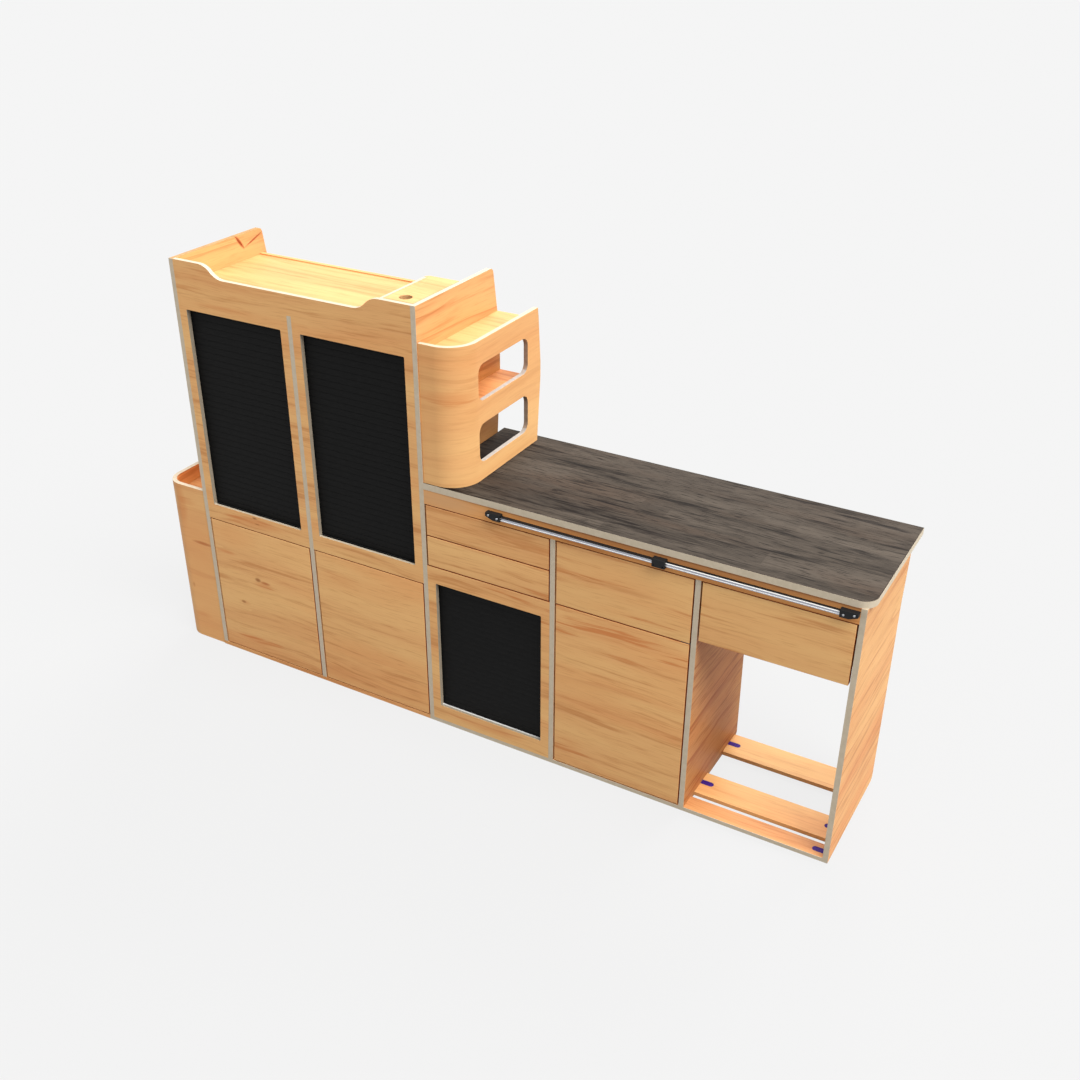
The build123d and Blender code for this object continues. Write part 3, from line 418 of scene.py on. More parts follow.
LOCKER_MARKS = (
    Mark(-0.7750, 0.4378, 0.0300, 0.0900, 0.50, 0.30, MAPLE_RED),
    Mark(-0.7370, 0.2500, 0.1300, 0.3000, 0.40, 0.30, MAPLE_WARM),
    Mark(-0.7564, 0.4553, 0.0700, 0.0180, 0.55, 0.80, MAPLE_RED),
    Mark(-0.7089, 0.3300, 0.0550, 0.0080, 0.85, 0.40, RED_BROWN),
    Mark(-0.7540, 0.0783, 0.0600, 0.0140, 0.50, 0.80, MAPLE_RED),
    Mark(-0.7710, 0.1758, 0.0060, 0.0120, 0.50, 0.30, MAPLE_STREAK),
)
# Painted shadow along the top of the front rail, under the worktop's edge, with a darker painted
# shadow line at its very top; the first mark lifts the rail's left end towards plain maple.
RAIL_SHADE_MARKS = (
    Mark(-0.0600, 0.6830, 0.1700, 0.0350, 0.80, 0.2, MAPLE_DULL),
    Mark(0.6000, 0.6990, 0.7200, 0.0165, 0.90, 0.0, RAIL_SHADE),
    Mark(0.6000, 0.7010, 0.9000, 0.0050, 0.80, 0.0, RAIL_SHADOW_LINE),
)
KEY_MARKS = (
    Mark(0.0640, 1.1428, 0.0195, 0.0105, 0.95, 0.0, JOINT_RED, -1.19),
    Mark(0.1190, 1.1375, 0.0440, 0.0036, 0.90, 0.0, JOINT_RED, 0.342),
)
# Painted shade, darker and redder towards the divider's foot in the open bay.
DIVIDER_SHADE_MARKS = (
    Mark(-0.0500, 0.1000, 0.3000, 0.1500, 0.55, 0.50, FOOT_SHADE_RED),
)
OAK_MARKS = (
    Mark(0.1300, -0.1100, 0.3600, 0.1200, 0.55, 1.00, OAK_DARK),
    # Painted shadow of the pod on the worktop inside it.
    Mark(-0.0550, 0.0000, 0.0900, 0.2600, 0.85, 0.20, OAK_DARK),
    Mark(0.4800, -0.1350, 0.1800, 0.0300, 0.45, 1.00, OAK_DARK),
    Mark(0.0273, 0.1086, 0.0420, 0.0050, 0.85, 0.80, OAK_DARK),
    Mark(0.2150, 0.1808, 0.0600, 0.0050, 0.85, 0.80, OAK_DARK),
    Mark(0.4734, -0.1422, 0.0700, 0.0110, 0.60, 1.00, OAK_DARK),
    Mark(0.5500, -0.0208, 0.0420, 0.0050, 0.75, 0.80, OAK_DARK),
    Mark(0.1857, -0.0552, 0.0120, 0.0060, 0.90, 0.30, OAK_DARK),
    Mark(0.1566, 0.1762, 0.0400, 0.0090, 0.80, 0.80, OAK_DARK),
    Mark(0.3671, 0.1057, 0.0180, 0.0060, 0.60, 0.50, OAK_DARK),
    Mark(0.6191, 0.0356, 0.0140, 0.0060, 0.70, 0.30, OAK_DARK),
    Mark(0.8402, -0.0308, 0.0120, 0.0060, 0.70, 0.30, OAK_DARK),
    Mark(0.9029, 0.0785, 0.0120, 0.0050, 0.60, 0.30, OAK_DARK),
)


@dataclass(frozen=True)
class Plain:
    """A plain or metal finish: its colours, gloss and fine surface."""

    colour: Colour
    other: Colour
    roughness: float = 0.60
    gloss: float = 0.2
    metallic: float = 0.0
    grain: tuple[float, float, float] = (90.0, 90.0, 90.0)
    relief: float = 0.05


ROUGH_GRAIN = (400.0, 400.0, 400.0)
FINE_GRAIN = (300.0, 300.0, 300.0)
CAST_GRAIN = (1400.0, 1400.0, 1400.0)
BRUSHED_ALONG = (12.0, 1600.0, 1600.0)
BRUSHED_DEEP = (900.0, 14.0, 900.0)

PLAINS: dict[Finish, Plain] = {
    Finish.BAND: Plain(srgb(200, 186, 164), srgb(194, 180, 157), 0.55),
    Finish.REVEAL: Plain(srgb(163, 150, 131), srgb(157, 144, 124)),
    Finish.RIM: Plain(srgb(166, 146, 128), srgb(154, 132, 114)),
    Finish.LEDGE: Plain(srgb(186, 177, 168), srgb(178, 168, 158)),
    # Edges of fronts and frames, darker and redder as painted shade in the gaps between them.
    Finish.EDGE_WOOD: Plain(
        srgb(190, 106, 60), srgb(162, 88, 48), 0.80, 0.1, 0.0, ROUGH_GRAIN, 0.10
    ),
    Finish.JOINT_WOOD: Plain(
        srgb(112, 30, 8), srgb(90, 24, 8), 0.80, 0.05, 0.0, ROUGH_GRAIN, 0.10
    ),
    Finish.TOP_EDGE: Plain(
        srgb(186, 148, 104), srgb(172, 132, 88), 0.70, 0.1, 0.0, (300.0, 60.0, 300.0), 0.10
    ),
    Finish.SHUTTER: Plain(
        srgb(18, 18, 18), srgb(13, 13, 13), 0.60, 0.10, 0.0, (60.0, 300.0, 900.0), 0.08
    ),
    Finish.TRACK: Plain(
        srgb(34, 34, 35), srgb(26, 26, 27), 0.50, 0.25, 0.0, FINE_GRAIN, 0.08
    ),
    Finish.ALUMINIUM: Plain(
        srgb(172, 174, 184), srgb(160, 162, 172), 0.30, 0.5, 1.0, BRUSHED_ALONG, 0.06
    ),
    # Near-white aluminium as a painted highlight, on the rail's upward faces and the back of the low
    # sill.
    Finish.BRIGHT: Plain(
        srgb(250, 250, 246), srgb(242, 242, 238), 0.34, 0.5, 0.3, BRUSHED_ALONG, 0.04
    ),
    Finish.STEEL: Plain(
        srgb(198, 200, 203), srgb(170, 173, 178), 0.36, 0.5, 1.0, BRUSHED_DEEP, 0.06
    ),
    Finish.SLIDE: Plain(
        srgb(92, 90, 88), srgb(74, 72, 70), 0.42, 0.5, 0.8, BRUSHED_DEEP, 0.06
    ),
    Finish.BRACKET: Plain(
        srgb(27, 29, 30), srgb(18, 19, 21), 0.50, 0.22, 0.0, CAST_GRAIN, 0.22
    ),
    Finish.PLUG: Plain(
        srgb(64, 28, 136), srgb(54, 22, 116), 0.60, 0.1, 0.0, FINE_GRAIN, 0.05
    ),
}
WOODS: dict[Finish, tuple[Wood, Cut, tuple[Mark, ...]]] = {
    Finish.FRONT_WOOD: (FRONT_MAPLE, Cut.FRONT, FRONT_MARKS),
    Finish.RAIL_WOOD: (RAIL_SHADED_MAPLE, Cut.FRONT, RAIL_SHADE_MARKS),
    Finish.SIDE_WOOD: (SIDE_MAPLE, Cut.SIDE, ()),
    Finish.PANEL_WOOD: (PANEL_MAPLE, Cut.SIDE, ()),
    Finish.SHADE_WOOD: (SHADE_MAPLE, Cut.SIDE, DIVIDER_SHADE_MARKS),
    Finish.KEY_WOOD: (SIDE_MAPLE, Cut.SIDE, KEY_MARKS),
    Finish.INNER_WOOD: (POD_SHADE_MAPLE, Cut.SIDE, ()),
    Finish.NOOK_WOOD: (NOOK_SHADE_MAPLE, Cut.SIDE, ()),
    Finish.SHELF_WOOD: (SHELF_SHADE_MAPLE, Cut.TOP, ()),
    Finish.SLAT_WOOD: (SLAT_LIT_MAPLE, Cut.TOP, ()),
    Finish.TOP_WOOD: (TOP_MAPLE, Cut.TOP, ()),
    Finish.STRIP_WOOD: (STRIP_MAPLE, Cut.TOP, ()),
    Finish.WRAP_WOOD: (POD_MAPLE, Cut.WRAP, POD_MARKS),
    Finish.SHELL_WOOD: (POD_MAPLE, Cut.TURN, LOCKER_MARKS),
    Finish.LOCKER_WOOD: (LOCKER_SHADE_MAPLE, Cut.TURN, ()),
    Finish.LOCKER_FLOOR: (LOCKER_FLOOR_SHADE_MAPLE, Cut.TOP, ()),
    Finish.OAK: (DARK_OAK, Cut.TOP, OAK_MARKS),
}
PLY_AXES = {Finish.PLY_ACROSS: 0, Finish.PLY_DEEP: 1, Finish.PLY_UP: 2}


@dataclass(frozen=True)
class Layer:
    """Noise in a wood's figure: its cycles for each metre, its start and the range that shows."""

    along: float
    across: float
    start: float
    detail: float
    low: float = 0.0
    high: float = 1.0
    share: float = 1.0


@dataclass(frozen=True)
class Figure:
    """The figure of sawn wood: its layers of noise, year rings, strips and seams."""

    layers: tuple[tuple[str, Layer], ...] = (
        ("sway", Layer(2.1, 4.0, 0.0, 1.0, share=0.035)),
        ("ripple", Layer(6.5, 15.0, 3.1, 1.0, share=0.008)),
        ("bend", Layer(0.8, 9.0, 0.0, 2.0, share=3.2)),
        ("streak", Layer(3.2, 62.0, 1.3, 4.0, share=0.48)),
        ("middle", Layer(7.5, 150.0, 2.9, 3.0, share=0.30)),
        ("broad", Layer(1.1, 13.0, 5.1, 2.0, 0.30, 0.70, share=0.22)),
        ("vein", Layer(15.0, 400.0, 9.7, 3.0, 0.52, 0.70)),
        ("pale", Layer(9.0, 240.0, 17.3, 3.0, 0.52, 0.70)),
        ("warm", Layer(0.9, 8.0, 14.2, 2.0, 0.48, 0.72)),
        ("fade", Layer(1.4, 10.0, 31.0, 1.0, 0.42, 0.62)),
        ("fibre", Layer(45.0, 1900.0, 21.0, 2.0)),
    )
    roughness: float = 0.55
    board_shift: float = 3.7
    streak_low: float = 0.50
    streak_high: float = 0.63
    rings: float = 17.0
    ring_sharpness: float = 9.0
    warp_cycles: float = 7.0
    warp: float = 0.06
    stagger: float = 7.0
    seam_from: float = 0.9 * MILLIMETRE
    seam_to: float = 2.2 * MILLIMETRE
    seam_low: float = 0.25
    seam_high: float = 0.75


@dataclass(frozen=True)
class PlyEdge:
    """A bare plywood edge: its colours, its layers and the marks of the saw."""

    pale: Colour = srgb(226, 184, 132)
    dark: Colour = srgb(158, 108, 66)
    layer: float = 1.5 * MILLIMETRE
    saw_along: float = 160.0
    saw_deep: float = 900.0
    saw_detail: float = 3.0
    saw_roughness: float = 0.5
    saw_share: float = 0.7
    dark_low: float = 0.1
    dark_high: float = 0.7
    roughness: float = 0.7
    gloss: float = 0.15
    relief: float = 0.2


@dataclass(frozen=True)
class Surface:
    """The fine surface of a finish: its noise, how much of it shows and its depth."""

    detail: float = 3.0
    roughness: float = 0.6
    tone_low: float = 0.35
    tone_high: float = 0.65
    low: float = 0.3
    high: float = 0.7
    spread: float = 0.05
    depth: float = 0.2 * MILLIMETRE
    rim_middle: float = 0.5


class Finishes:
    """Makes each finish once and hands it out."""

    def __init__(self) -> None:
        """Builds the groups that the finishes share."""
        self.figure = Figure()
        self.edge = PlyEdge()
        self.surface = Surface()
        self.grain = self._grain_group()
        self.plies = self._ply_group()
        self.marks = self._mark_group()
        self.made: dict[Finish, bpy.types.Material] = {}

    def get(self, finish: Finish) -> bpy.types.Material:
        """The material of one finish.

        Args:
            finish: The finish.

        Returns:
            Its material, made when first asked for.
        """
        if finish not in self.made:
            self.made[finish] = self._make(finish)
        return self.made[finish]

    def _make(self, finish: Finish) -> bpy.types.Material:
        """Builds one material.

        Args:
            finish: The finish.

        Returns:
            The new material.
        """
        material = bpy.data.materials.new(finish.value)
        material.use_nodes = True
        wiring = Wiring(material.node_tree)
        shader = wiring.add("ShaderNodeBsdfPrincipled")
        wiring.add("ShaderNodeOutputMaterial", {"Surface": shader.outputs["BSDF"]})
        if finish in WOODS:
            self._wood(wiring, shader, *WOODS[finish])
        elif finish in PLY_AXES:
            self._ply(wiring, shader, PLY_AXES[finish])
        else:
            self._plain(wiring, shader, PLAINS[finish])
        return material

    def _grain_group(self) -> bpy.types.NodeTree:
        """The figure of sawn wood, from where a point lies along and across the grain.

        Returns:
            The group.
        """
        wiring, given, result = shader_group(
            "wood_figure",
            {
                "Along": 0.0, "Across": 0.0, "Board": 0.0, "Strip width": 0.1,
                "Plank length": 400.0, "Wave": 1.0,
            },
            ("Streak", "Vein", "Pale", "Patch", "Warm", "Ring", "Strip", "Seam", "Fibre"),
        )
        along, across, board, width, length, wave = given.outputs[:6]
        figure, layers = self.figure, dict(self.figure.layers)
        shift = wiring.times(board, figure.board_shift)

        def field(name: str, place: Value) -> Value:
            """A layer's noise, stretched along the grain.

            Args:
                name: The layer's name.
                place: Where the point lies across the grain.

            Returns:
                The noise from 0 to 1.
            """
            layer = layers[name]
            spot = wiring.vector(
                wiring.times(along, layer.along), wiring.times(place, layer.across),
                wiring.plus(shift, layer.start),
            )
            return wiring.noise(spot, layer.detail, figure.roughness)

        def weighted(name: str, value: Value) -> Value:
            """A layer's noise by its share."""
            return wiring.times(value, layers[name].share)

        def shown(name: str, value: Value) -> Value:
            """The part of a layer's noise that shows."""
            return wiring.remap(value, layers[name].low, layers[name].high)

        sway, ripple, bend = (
            weighted(name, field(name, across)) for name in ("sway", "ripple", "bend")
        )
        wavy = wiring.plus(across, wiring.times(wiring.plus(sway, ripple), wave))
        noise = {
            name: field(name, wavy)
            for name in ("streak", "middle", "broad", "vein", "pale", "warm", "fade", "fibre")
        }
        streak, middle, broad = (
            weighted(name, noise[name]) for name in ("streak", "middle", "broad")
        )
        mixed = wiring.plus(streak, wiring.plus(broad, middle))
        phase = wiring.plus(wiring.times(wavy, figure.rings), bend)
        late = wiring.math("POWER", wiring.math("FRACT", phase), figure.ring_sharpness)

        uneven = wiring.made(
            "ShaderNodeTexNoise",
            {"W": wiring.math("MULTIPLY_ADD", across, figure.warp_cycles, shift), "Scale": 1.0},
            noise_dimensions="1D",
        )
        warped = wiring.plus(across, wiring.times(uneven, figure.warp))
        turn = wiring.math("DIVIDE", wiring.plus(warped, shift), width)
        row = wiring.math("FLOOR", turn)
        toss = wiring.made("ShaderNodeTexWhiteNoise", {"W": row}, noise_dimensions="1D")
        plank = wiring.math("DIVIDE", along, length)
        stagger = wiring.times(toss, figure.stagger)
        column = wiring.math("FLOOR", wiring.plus(plank, stagger))
        tone = wiring.made(
            "ShaderNodeTexWhiteNoise", {"Vector": wiring.vector(row, column, shift)},
            noise_dimensions="3D",
        )
        edge = wiring.times(wiring.math("FRACT", turn), width)
        line = wiring.remap(edge, figure.seam_from, figure.seam_to, 1.0, 0.0)
        seen = wiring.remap(toss, figure.seam_low, figure.seam_high)
        wiring.fill(
            result,
            {
                "Streak": wiring.remap(mixed, figure.streak_low, figure.streak_high),
                "Vein": shown("vein", noise["vein"]), "Pale": shown("pale", noise["pale"]),
                "Patch": shown("broad", noise["broad"]), "Warm": shown("warm", noise["warm"]),
                "Ring": wiring.times(late, shown("fade", noise["fade"])),
                "Strip": tone, "Seam": wiring.times(line, seen),
                "Fibre": noise["fibre"],
            },
        )
        return wiring.tree

    def _ply_group(self) -> bpy.types.NodeTree:
        """The layers of a plywood edge, from how deep a point lies in the board.

        Returns:
            The group.
        """
        wiring, given, result = shader_group(
            "ply_layers", {"Depth": 0.0, "Along": 0.0, "Layer": 0.003}, ("Dark", "Fibre")
        )
        depth, along, layer = given.outputs[:3]
        edge = self.edge
        wave = wiring.math("SINE", wiring.times(wiring.math("DIVIDE", depth, layer), math.pi))
        place = wiring.vector(
            wiring.times(along, edge.saw_along), wiring.times(depth, edge.saw_deep), 0.0
        )
        saw = wiring.noise(place, edge.saw_detail, edge.saw_roughness)
        mixed = wiring.plus(wave, wiring.times(saw, edge.saw_share))
        dark = wiring.remap(mixed, edge.dark_low, edge.dark_high)
        wiring.fill(result, {"Dark": dark, "Fibre": saw})
        return wiring.tree

    def _mark_group(self) -> bpy.types.NodeTree:
        """A knot, stain or patch of painted shade: a soft ellipse whose rim follows the grain.

        Returns:
            The group.
        """
        wiring, given, result = shader_group(
            "mark",
            {
                "Along": 0.0, "Across": 0.0, "Figure": 0.5, "Mark along": 0.0, "Mark across": 0.0,
                "Half length": 0.01, "Half height": 0.01, "Depth": 0.5, "Ragged": 0.5, "Lean": 0.0,
            },
            ("Mark",),
        )
        value = given.outputs

        def squared(away: Value, half: Value) -> Value:
            """The squared distance along one way, in half sizes."""
            share = wiring.math("DIVIDE", away, half)
            return wiring.times(share, share)

        run = wiring.math("SUBTRACT", value["Along"], value["Mark along"])
        rise = wiring.math("SUBTRACT", value["Across"], value["Mark across"])
        level = wiring.math("SUBTRACT", rise, wiring.times(run, value["Lean"]))
        far = wiring.plus(
            squared(run, value["Half length"]), squared(level, value["Half height"])
        )
        streak = wiring.math("SUBTRACT", self.surface.rim_middle, value["Figure"])
        rim = wiring.times(streak, value["Ragged"])
        shape = wiring.remap(wiring.plus(far, rim), 0.0, 1.0, 1.0, 0.0)
        wiring.fill(result, {"Mark": wiring.times(shape, value["Depth"])})
        return wiring.tree

    def _place(self, wiring: Wiring) -> Sequence[bpy.types.NodeSocket]:
        """The X, Y and Z of the object coordinates."""
        place = wiring.add("ShaderNodeTexCoord").outputs["Object"]
        return wiring.add("ShaderNodeSeparateXYZ", {0: place}).outputs[:3]

    def _bump(self, wiring: Wiring, height: Value, strength: float) -> Value:
        """The normal of a fine relief.

        Args:
            wiring: The material's wiring.
            height: The relief.
            strength: How much it shows.

        Returns:
            The normal.
        """
        given = {"Height": height, "Strength": strength, "Distance": self.surface.depth}
        return wiring.made("ShaderNodeBump", given)

    def _wood(
        self, wiring: Wiring, shader: bpy.types.Node, wood: Wood, cut: Cut, marks: Iterable[Mark]
    ) -> None:
        """Wires a wooden finish.

        Args:
            wiring: The material's wiring.
            shader: Its shader.
            wood: The wood's colours and figure.
            cut: How the grain lies.
            marks: Knots and stains in it.
        """
        x, y, z = self._place(wiring)
        along = {Cut.FRONT: x, Cut.SIDE: y, Cut.TOP: x}.get(cut) or wiring.math(
            "ADD" if cut is Cut.WRAP else "SUBTRACT", x, y
        )
        across = y if cut is Cut.TOP else z
        board = wiring.add("ShaderNodeAttribute", attribute_name=BOARD_ATTRIBUTE)
        figure = wiring.group(
            self.grain,
            {
                "Along": wiring.times(along, wood.along_scale),
                "Across": wiring.times(across, wood.across_scale),
                "Board": board.outputs["Fac"], "Strip width": wood.strip_width,
                "Plank length": wood.plank_length, "Wave": wood.wave,
            },
        ).outputs
        colour = wiring.blend(figure["Patch"], wood.light, wood.base)
        steps = (
            ("Strip", wood.strip_share, wood.streak), ("Warm", wood.warm_share, wood.warm),
            ("Pale", wood.pale_share, wood.light), ("Streak", wood.streak_share, wood.streak),
            ("Ring", wood.ring_share, wood.ring), ("Vein", wood.vein_share, wood.streak),
            ("Seam", wood.seam_share, wood.ring),
        )
        for name, share, tint in steps:
            colour = wiring.blend(wiring.times(figure[name], share), colour, tint)
        for mark in marks:
            given = {
                "Along": along, "Across": across, "Figure": figure["Streak"],
                "Mark along": mark.along, "Mark across": mark.across,
                "Half length": mark.half_length, "Half height": mark.half_height,
                "Depth": mark.depth, "Ragged": mark.ragged, "Lean": mark.lean,
            }
            spot = wiring.group(self.marks, given).outputs["Mark"]
            colour = wiring.blend(spot, colour, mark.tint)
        fibre = figure["Fibre"]
        wiring.fill(
            shader,
            {
                "Base Color": colour, "Specular IOR Level": wood.gloss,
                "Roughness": wiring.remap(
                    fibre, self.surface.low, self.surface.high,
                    wood.roughness - wood.smoother, wood.roughness + wood.rougher,
                ),
                "Normal": self._bump(wiring, fibre, wood.relief),
            },
        )

    def _ply(self, wiring: Wiring, shader: bpy.types.Node, axis: int) -> None:
        """Wires a bare plywood edge whose layers stack along one axis.

        Args:
            wiring: The material's wiring.
            shader: Its shader.
            axis: 0, 1 or 2 for X, Y or Z.
        """
        place, edge = self._place(wiring), self.edge
        others = [place[number] for number in range(3) if number != axis]
        layers = wiring.group(
            self.plies,
            {"Depth": place[axis], "Along": wiring.plus(*others), "Layer": edge.layer},
        ).outputs
        wiring.fill(
            shader,
            {
                "Base Color": wiring.blend(layers["Dark"], edge.pale, edge.dark),
                "Roughness": edge.roughness, "Specular IOR Level": edge.gloss,
                "Normal": self._bump(wiring, layers["Fibre"], edge.relief),
            },
        )

    def _plain(self, wiring: Wiring, shader: bpy.types.Node, plain: Plain) -> None:
        """Wires a plastic, band or metal finish with a fine surface of its own.

        Args:
            wiring: The material's wiring.
            shader: Its shader.
            plain: The finish's colours and surface.
        """
        place = wiring.add("ShaderNodeTexCoord").outputs["Object"]
        stretch = wiring.made("ShaderNodeMapping", {"Scale": plain.grain, "Vector": place})
        surface = self.surface
        speck = wiring.noise(stretch, surface.detail, surface.roughness)
        tone = wiring.remap(speck, surface.tone_low, surface.tone_high)
        wiring.fill(
            shader,
            {
                "Base Color": wiring.blend(tone, plain.colour, plain.other),
                "Roughness": wiring.remap(
                    speck, surface.low, surface.high,
                    plain.roughness - surface.spread, plain.roughness + surface.spread,
                ),
                "Specular IOR Level": plain.gloss, "Metallic": plain.metallic,
                "Normal": self._bump(wiring, speck, plain.relief),
            },
        )


FaceRule = Callable[[Vector, Vector], Finish]


@dataclass(frozen=True)
class Run:
    """A length of a drawn bar: the Y and Z of its section's corners and the X of its ends."""

    profile: Sequence[tuple[float, float]]
    start: float
    end: float


@dataclass(frozen=True)
class Cutline:
    """A plane square to an axis, which parts flat faces so that each part has its own finish."""

    axis: str
    place: float

    def normal(self) -> Vector:
        """The plane's normal."""
        return Vector([float(axis == self.axis) for axis in AXES])


def by_direction(centre: Vector, normal: Vector) -> Finish:
    """Wood for a face by the way it looks.

    Args:
        centre: The face's centre, unused here.
        normal: The face's normal.

    Returns:
        The finish.
    """
    if abs(normal.z) > SQUARE_ON:
        return Finish.TOP_WOOD
    return Finish.SIDE_WOOD if abs(normal.x) > SQUARE_ON else Finish.FRONT_WOOD


def all_in(finish: Finish) -> FaceRule:
    """The rule of a piece that is all in one finish."""
    return lambda centre, normal: finish


def topped(finish: Finish, rest: FaceRule = by_direction, share: float = SQUARE_ON) -> FaceRule:
    """The rule of a piece that has a finish of its own on top."""
    return lambda centre, normal: finish if normal.z > share else rest(centre, normal)


def faced(axis: int, broad: Finish, edge: Finish, share: float = SQUARE_ON) -> FaceRule:
    """The rule of a board whose broad faces look along one axis, with other edges."""
    return lambda centre, normal: broad if abs(normal[axis]) > share else edge


@dataclass
class Bench:
    """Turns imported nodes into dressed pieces."""

    finishes: Finishes
    arris: float = 0.3 * MILLIMETRE
    weld: float = 0.01 * MILLIMETRE
    flat_within: float = math.radians(0.5)
    bevel_from: float = math.radians(50)
    edge_profile: float = 0.5
    sharp_from: float = math.radians(20)
    board_numbers: int = 61
    board_step: float = 1.7
    pieces: int = 0

    def body_of(self, node: str) -> str:
        """The name of the body that holds a node."""
        bodies = frame["record"]["behaviour"]["bodies"]
        return next(body for body, nodes in bodies.items() if node in nodes)

    def slot_of(self, node: str) -> str:
        """The name of a node's material slot in the record."""
        subparts = frame["record"]["subparts"]
        return next(row["material_slot"] for row in subparts if row["node"] == node)

    def add_piece(self, mesh: bpy.types.Mesh, name: str, node: str) -> bpy.types.Object:
        """Puts a mesh in the scene on the body of a node.

        Args:
            mesh: The piece's mesh, in its place.
            name: The piece's name.
            node: The node that it rides with; its slot is looked up but not kept.

        Returns:
            The piece.
        """
        piece = bpy.data.objects.new(name, mesh)
        bpy.context.scene.collection.objects.link(piece)
        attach(piece, self.body_of(node))
        self.slot_of(node)
        self.pieces += 1
        log.info("%s goes with %s, %d faces", name, node, len(mesh.polygons))
        return piece

    def finish_piece(self, mesh: bpy.types.Mesh, name: str, node: str) -> bpy.types.Object:
        """Puts a mesh in the scene in the place of a node.

        Args:
            mesh: The piece's mesh, in its place.
            name: The piece's name.
            node: The node that it stands for.

        Returns:
            The piece.
        """
        piece = self.add_piece(mesh, name, node)
        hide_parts(node)
        return piece

    def join_rings(
        self, work: bmesh.types.BMesh, first: Sequence[bmesh.types.BMVert],
        second: Sequence[bmesh.types.BMVert],
    ) -> None:
        """Makes the faces between two rings with as many corners.

        Args:
            work: The piece.
            first: The corners of one ring.
            second: The corners of the other.
        """
        for number in range(len(first)):
            after = (number + 1) % len(first)
            work.faces.new((first[number], first[after], second[after], second[number]))

    def bar_mesh(self, name: str, runs: Sequence[Run], rule: FaceRule) -> bpy.types.Mesh:
        """Makes a drawn bar along X from its sections.

        Args:
            name: The mesh's name.
            runs: The bar's lengths, end to end.
            rule: Picks the finish of a face.

        Returns:
            The bar's mesh.
        """
        work = bmesh.new()
        for run in runs:
            first, second = (
                [work.verts.new((x, y, z)) for y, z in run.profile] for x in (run.start, run.end)
            )
            self.join_rings(work, first, second)
            work.faces.new(reversed(first))
            work.faces.new(second)
        bmesh.ops.recalc_face_normals(work, faces=work.faces)
        work.normal_update()
        return self.to_mesh(work, name, self.sort_faces(work, rule))

    def solids(self, mesh: bpy.types.Mesh) -> Iterator[list[int]]:
        """The faces of each closed solid of a node, which follow each other in its mesh.

        Args:
            mesh: The node's mesh.

        Yields:
            The numbers of a solid's faces.
        """
        faces: list[int] = []
        unpaired: set[frozenset] = set()
        for face in mesh.polygons:
            faces.append(face.index)
            corners = [
                tuple(round(value / self.weld) for value in mesh.vertices[number].co)
                for number in face.vertices
            ]
            sides = zip(corners, corners[1:] + corners[:1])
            unpaired ^= {frozenset(side) for side in sides if side[0] != side[1]}
            if not unpaired:
                yield faces
                faces = []
        if faces:
            yield faces

    def copy_of(self, node: str) -> bmesh.types.BMesh:
        """A copy of a node's mesh, each solid welded by itself and its flat faces whole.

        Args:
            node: The node's name.

        Returns:
            The copy.
        """
        mesh = frame["nodes"][node].data
        work = bmesh.new()
        work.from_mesh(mesh)
        work.faces.ensure_lookup_table()
        groups = [
            sorted(
                {vertex for number in faces for vertex in work.faces[number].verts},
                key=lambda vertex: vertex.index,
            )
            for faces in self.solids(mesh)
        ]
        for group in groups:
            bmesh.ops.remove_doubles(work, verts=group, dist=self.weld)
        bmesh.ops.dissolve_limit(
            work, angle_limit=self.flat_within, verts=work.verts, edges=work.edges
        )
        bmesh.ops.recalc_face_normals(work, faces=work.faces)
        return work

    def soften(self, work: bmesh.types.BMesh, arris: float) -> None:
        """Takes the sharp edges off a board.

        Args:
            work: The board.
            arris: Width of the broken edge.
        """
        sharp = [
            edge for edge in work.edges
            if len(edge.link_faces) == 2 and edge.calc_face_angle(0.0) > self.bevel_from
        ]
        bmesh.ops.bevel(
            work, geom=sharp, offset=arris, offset_type="OFFSET", segments=1,
            profile=self.edge_profile, affect="EDGES", clamp_overlap=True, material=-1,
        )

    def number_boards(self, work: bmesh.types.BMesh, node: str) -> None:
        """Gives each separate board of a piece a number, which shifts its grain.

        Args:
            work: The piece.
            node: The node that it stands for.
        """
        layer = work.verts.layers.float.new(BOARD_ATTRIBUTE)
        number = float(sum(ord(letter) for letter in node) % self.board_numbers)
        left = set(work.verts)
        while left:
            start = min(left, key=lambda vertex: vertex.index)
            island, rim = {start}, [start]
            while rim:
                vertex = rim.pop()
                near = {edge.other_vert(vertex) for edge in vertex.link_edges} - island
                island |= near
                rim.extend(near)
            for vertex in island:
                vertex[layer] = number
            left -= island
            number += self.board_step

    def sort_faces(self, work: bmesh.types.BMesh, rule: FaceRule) -> list[Finish]:
        """Gives each face of a piece the number of its finish.

        Args:
            work: The piece.
            rule: Picks the finish of a face.

        Returns:
            The finishes in the order of their numbers.
        """
        finishes = [rule(face.calc_center_median(), face.normal) for face in work.faces]
        used = list(dict.fromkeys(finishes))
        for face, finish in zip(work.faces, finishes):
            face.material_index = used.index(finish)
        return used

    def to_mesh(
        self, work: bmesh.types.BMesh, name: str, finishes: Sequence[Finish]
    ) -> bpy.types.Mesh:
        """Turns a worked piece into a mesh with its materials.

        Args:
            work: The piece.
            name: The mesh's name.
            finishes: Its finishes, in the order of their numbers.

        Returns:
            The mesh.
        """
        mesh = bpy.data.meshes.new(name)
        for face in work.faces:
            face.smooth = True
        work.to_mesh(mesh)
        work.free()
        for finish in finishes:
            mesh.materials.append(self.finishes.get(finish))
        mesh.set_sharp_from_angle(angle=self.sharp_from)
        return mesh

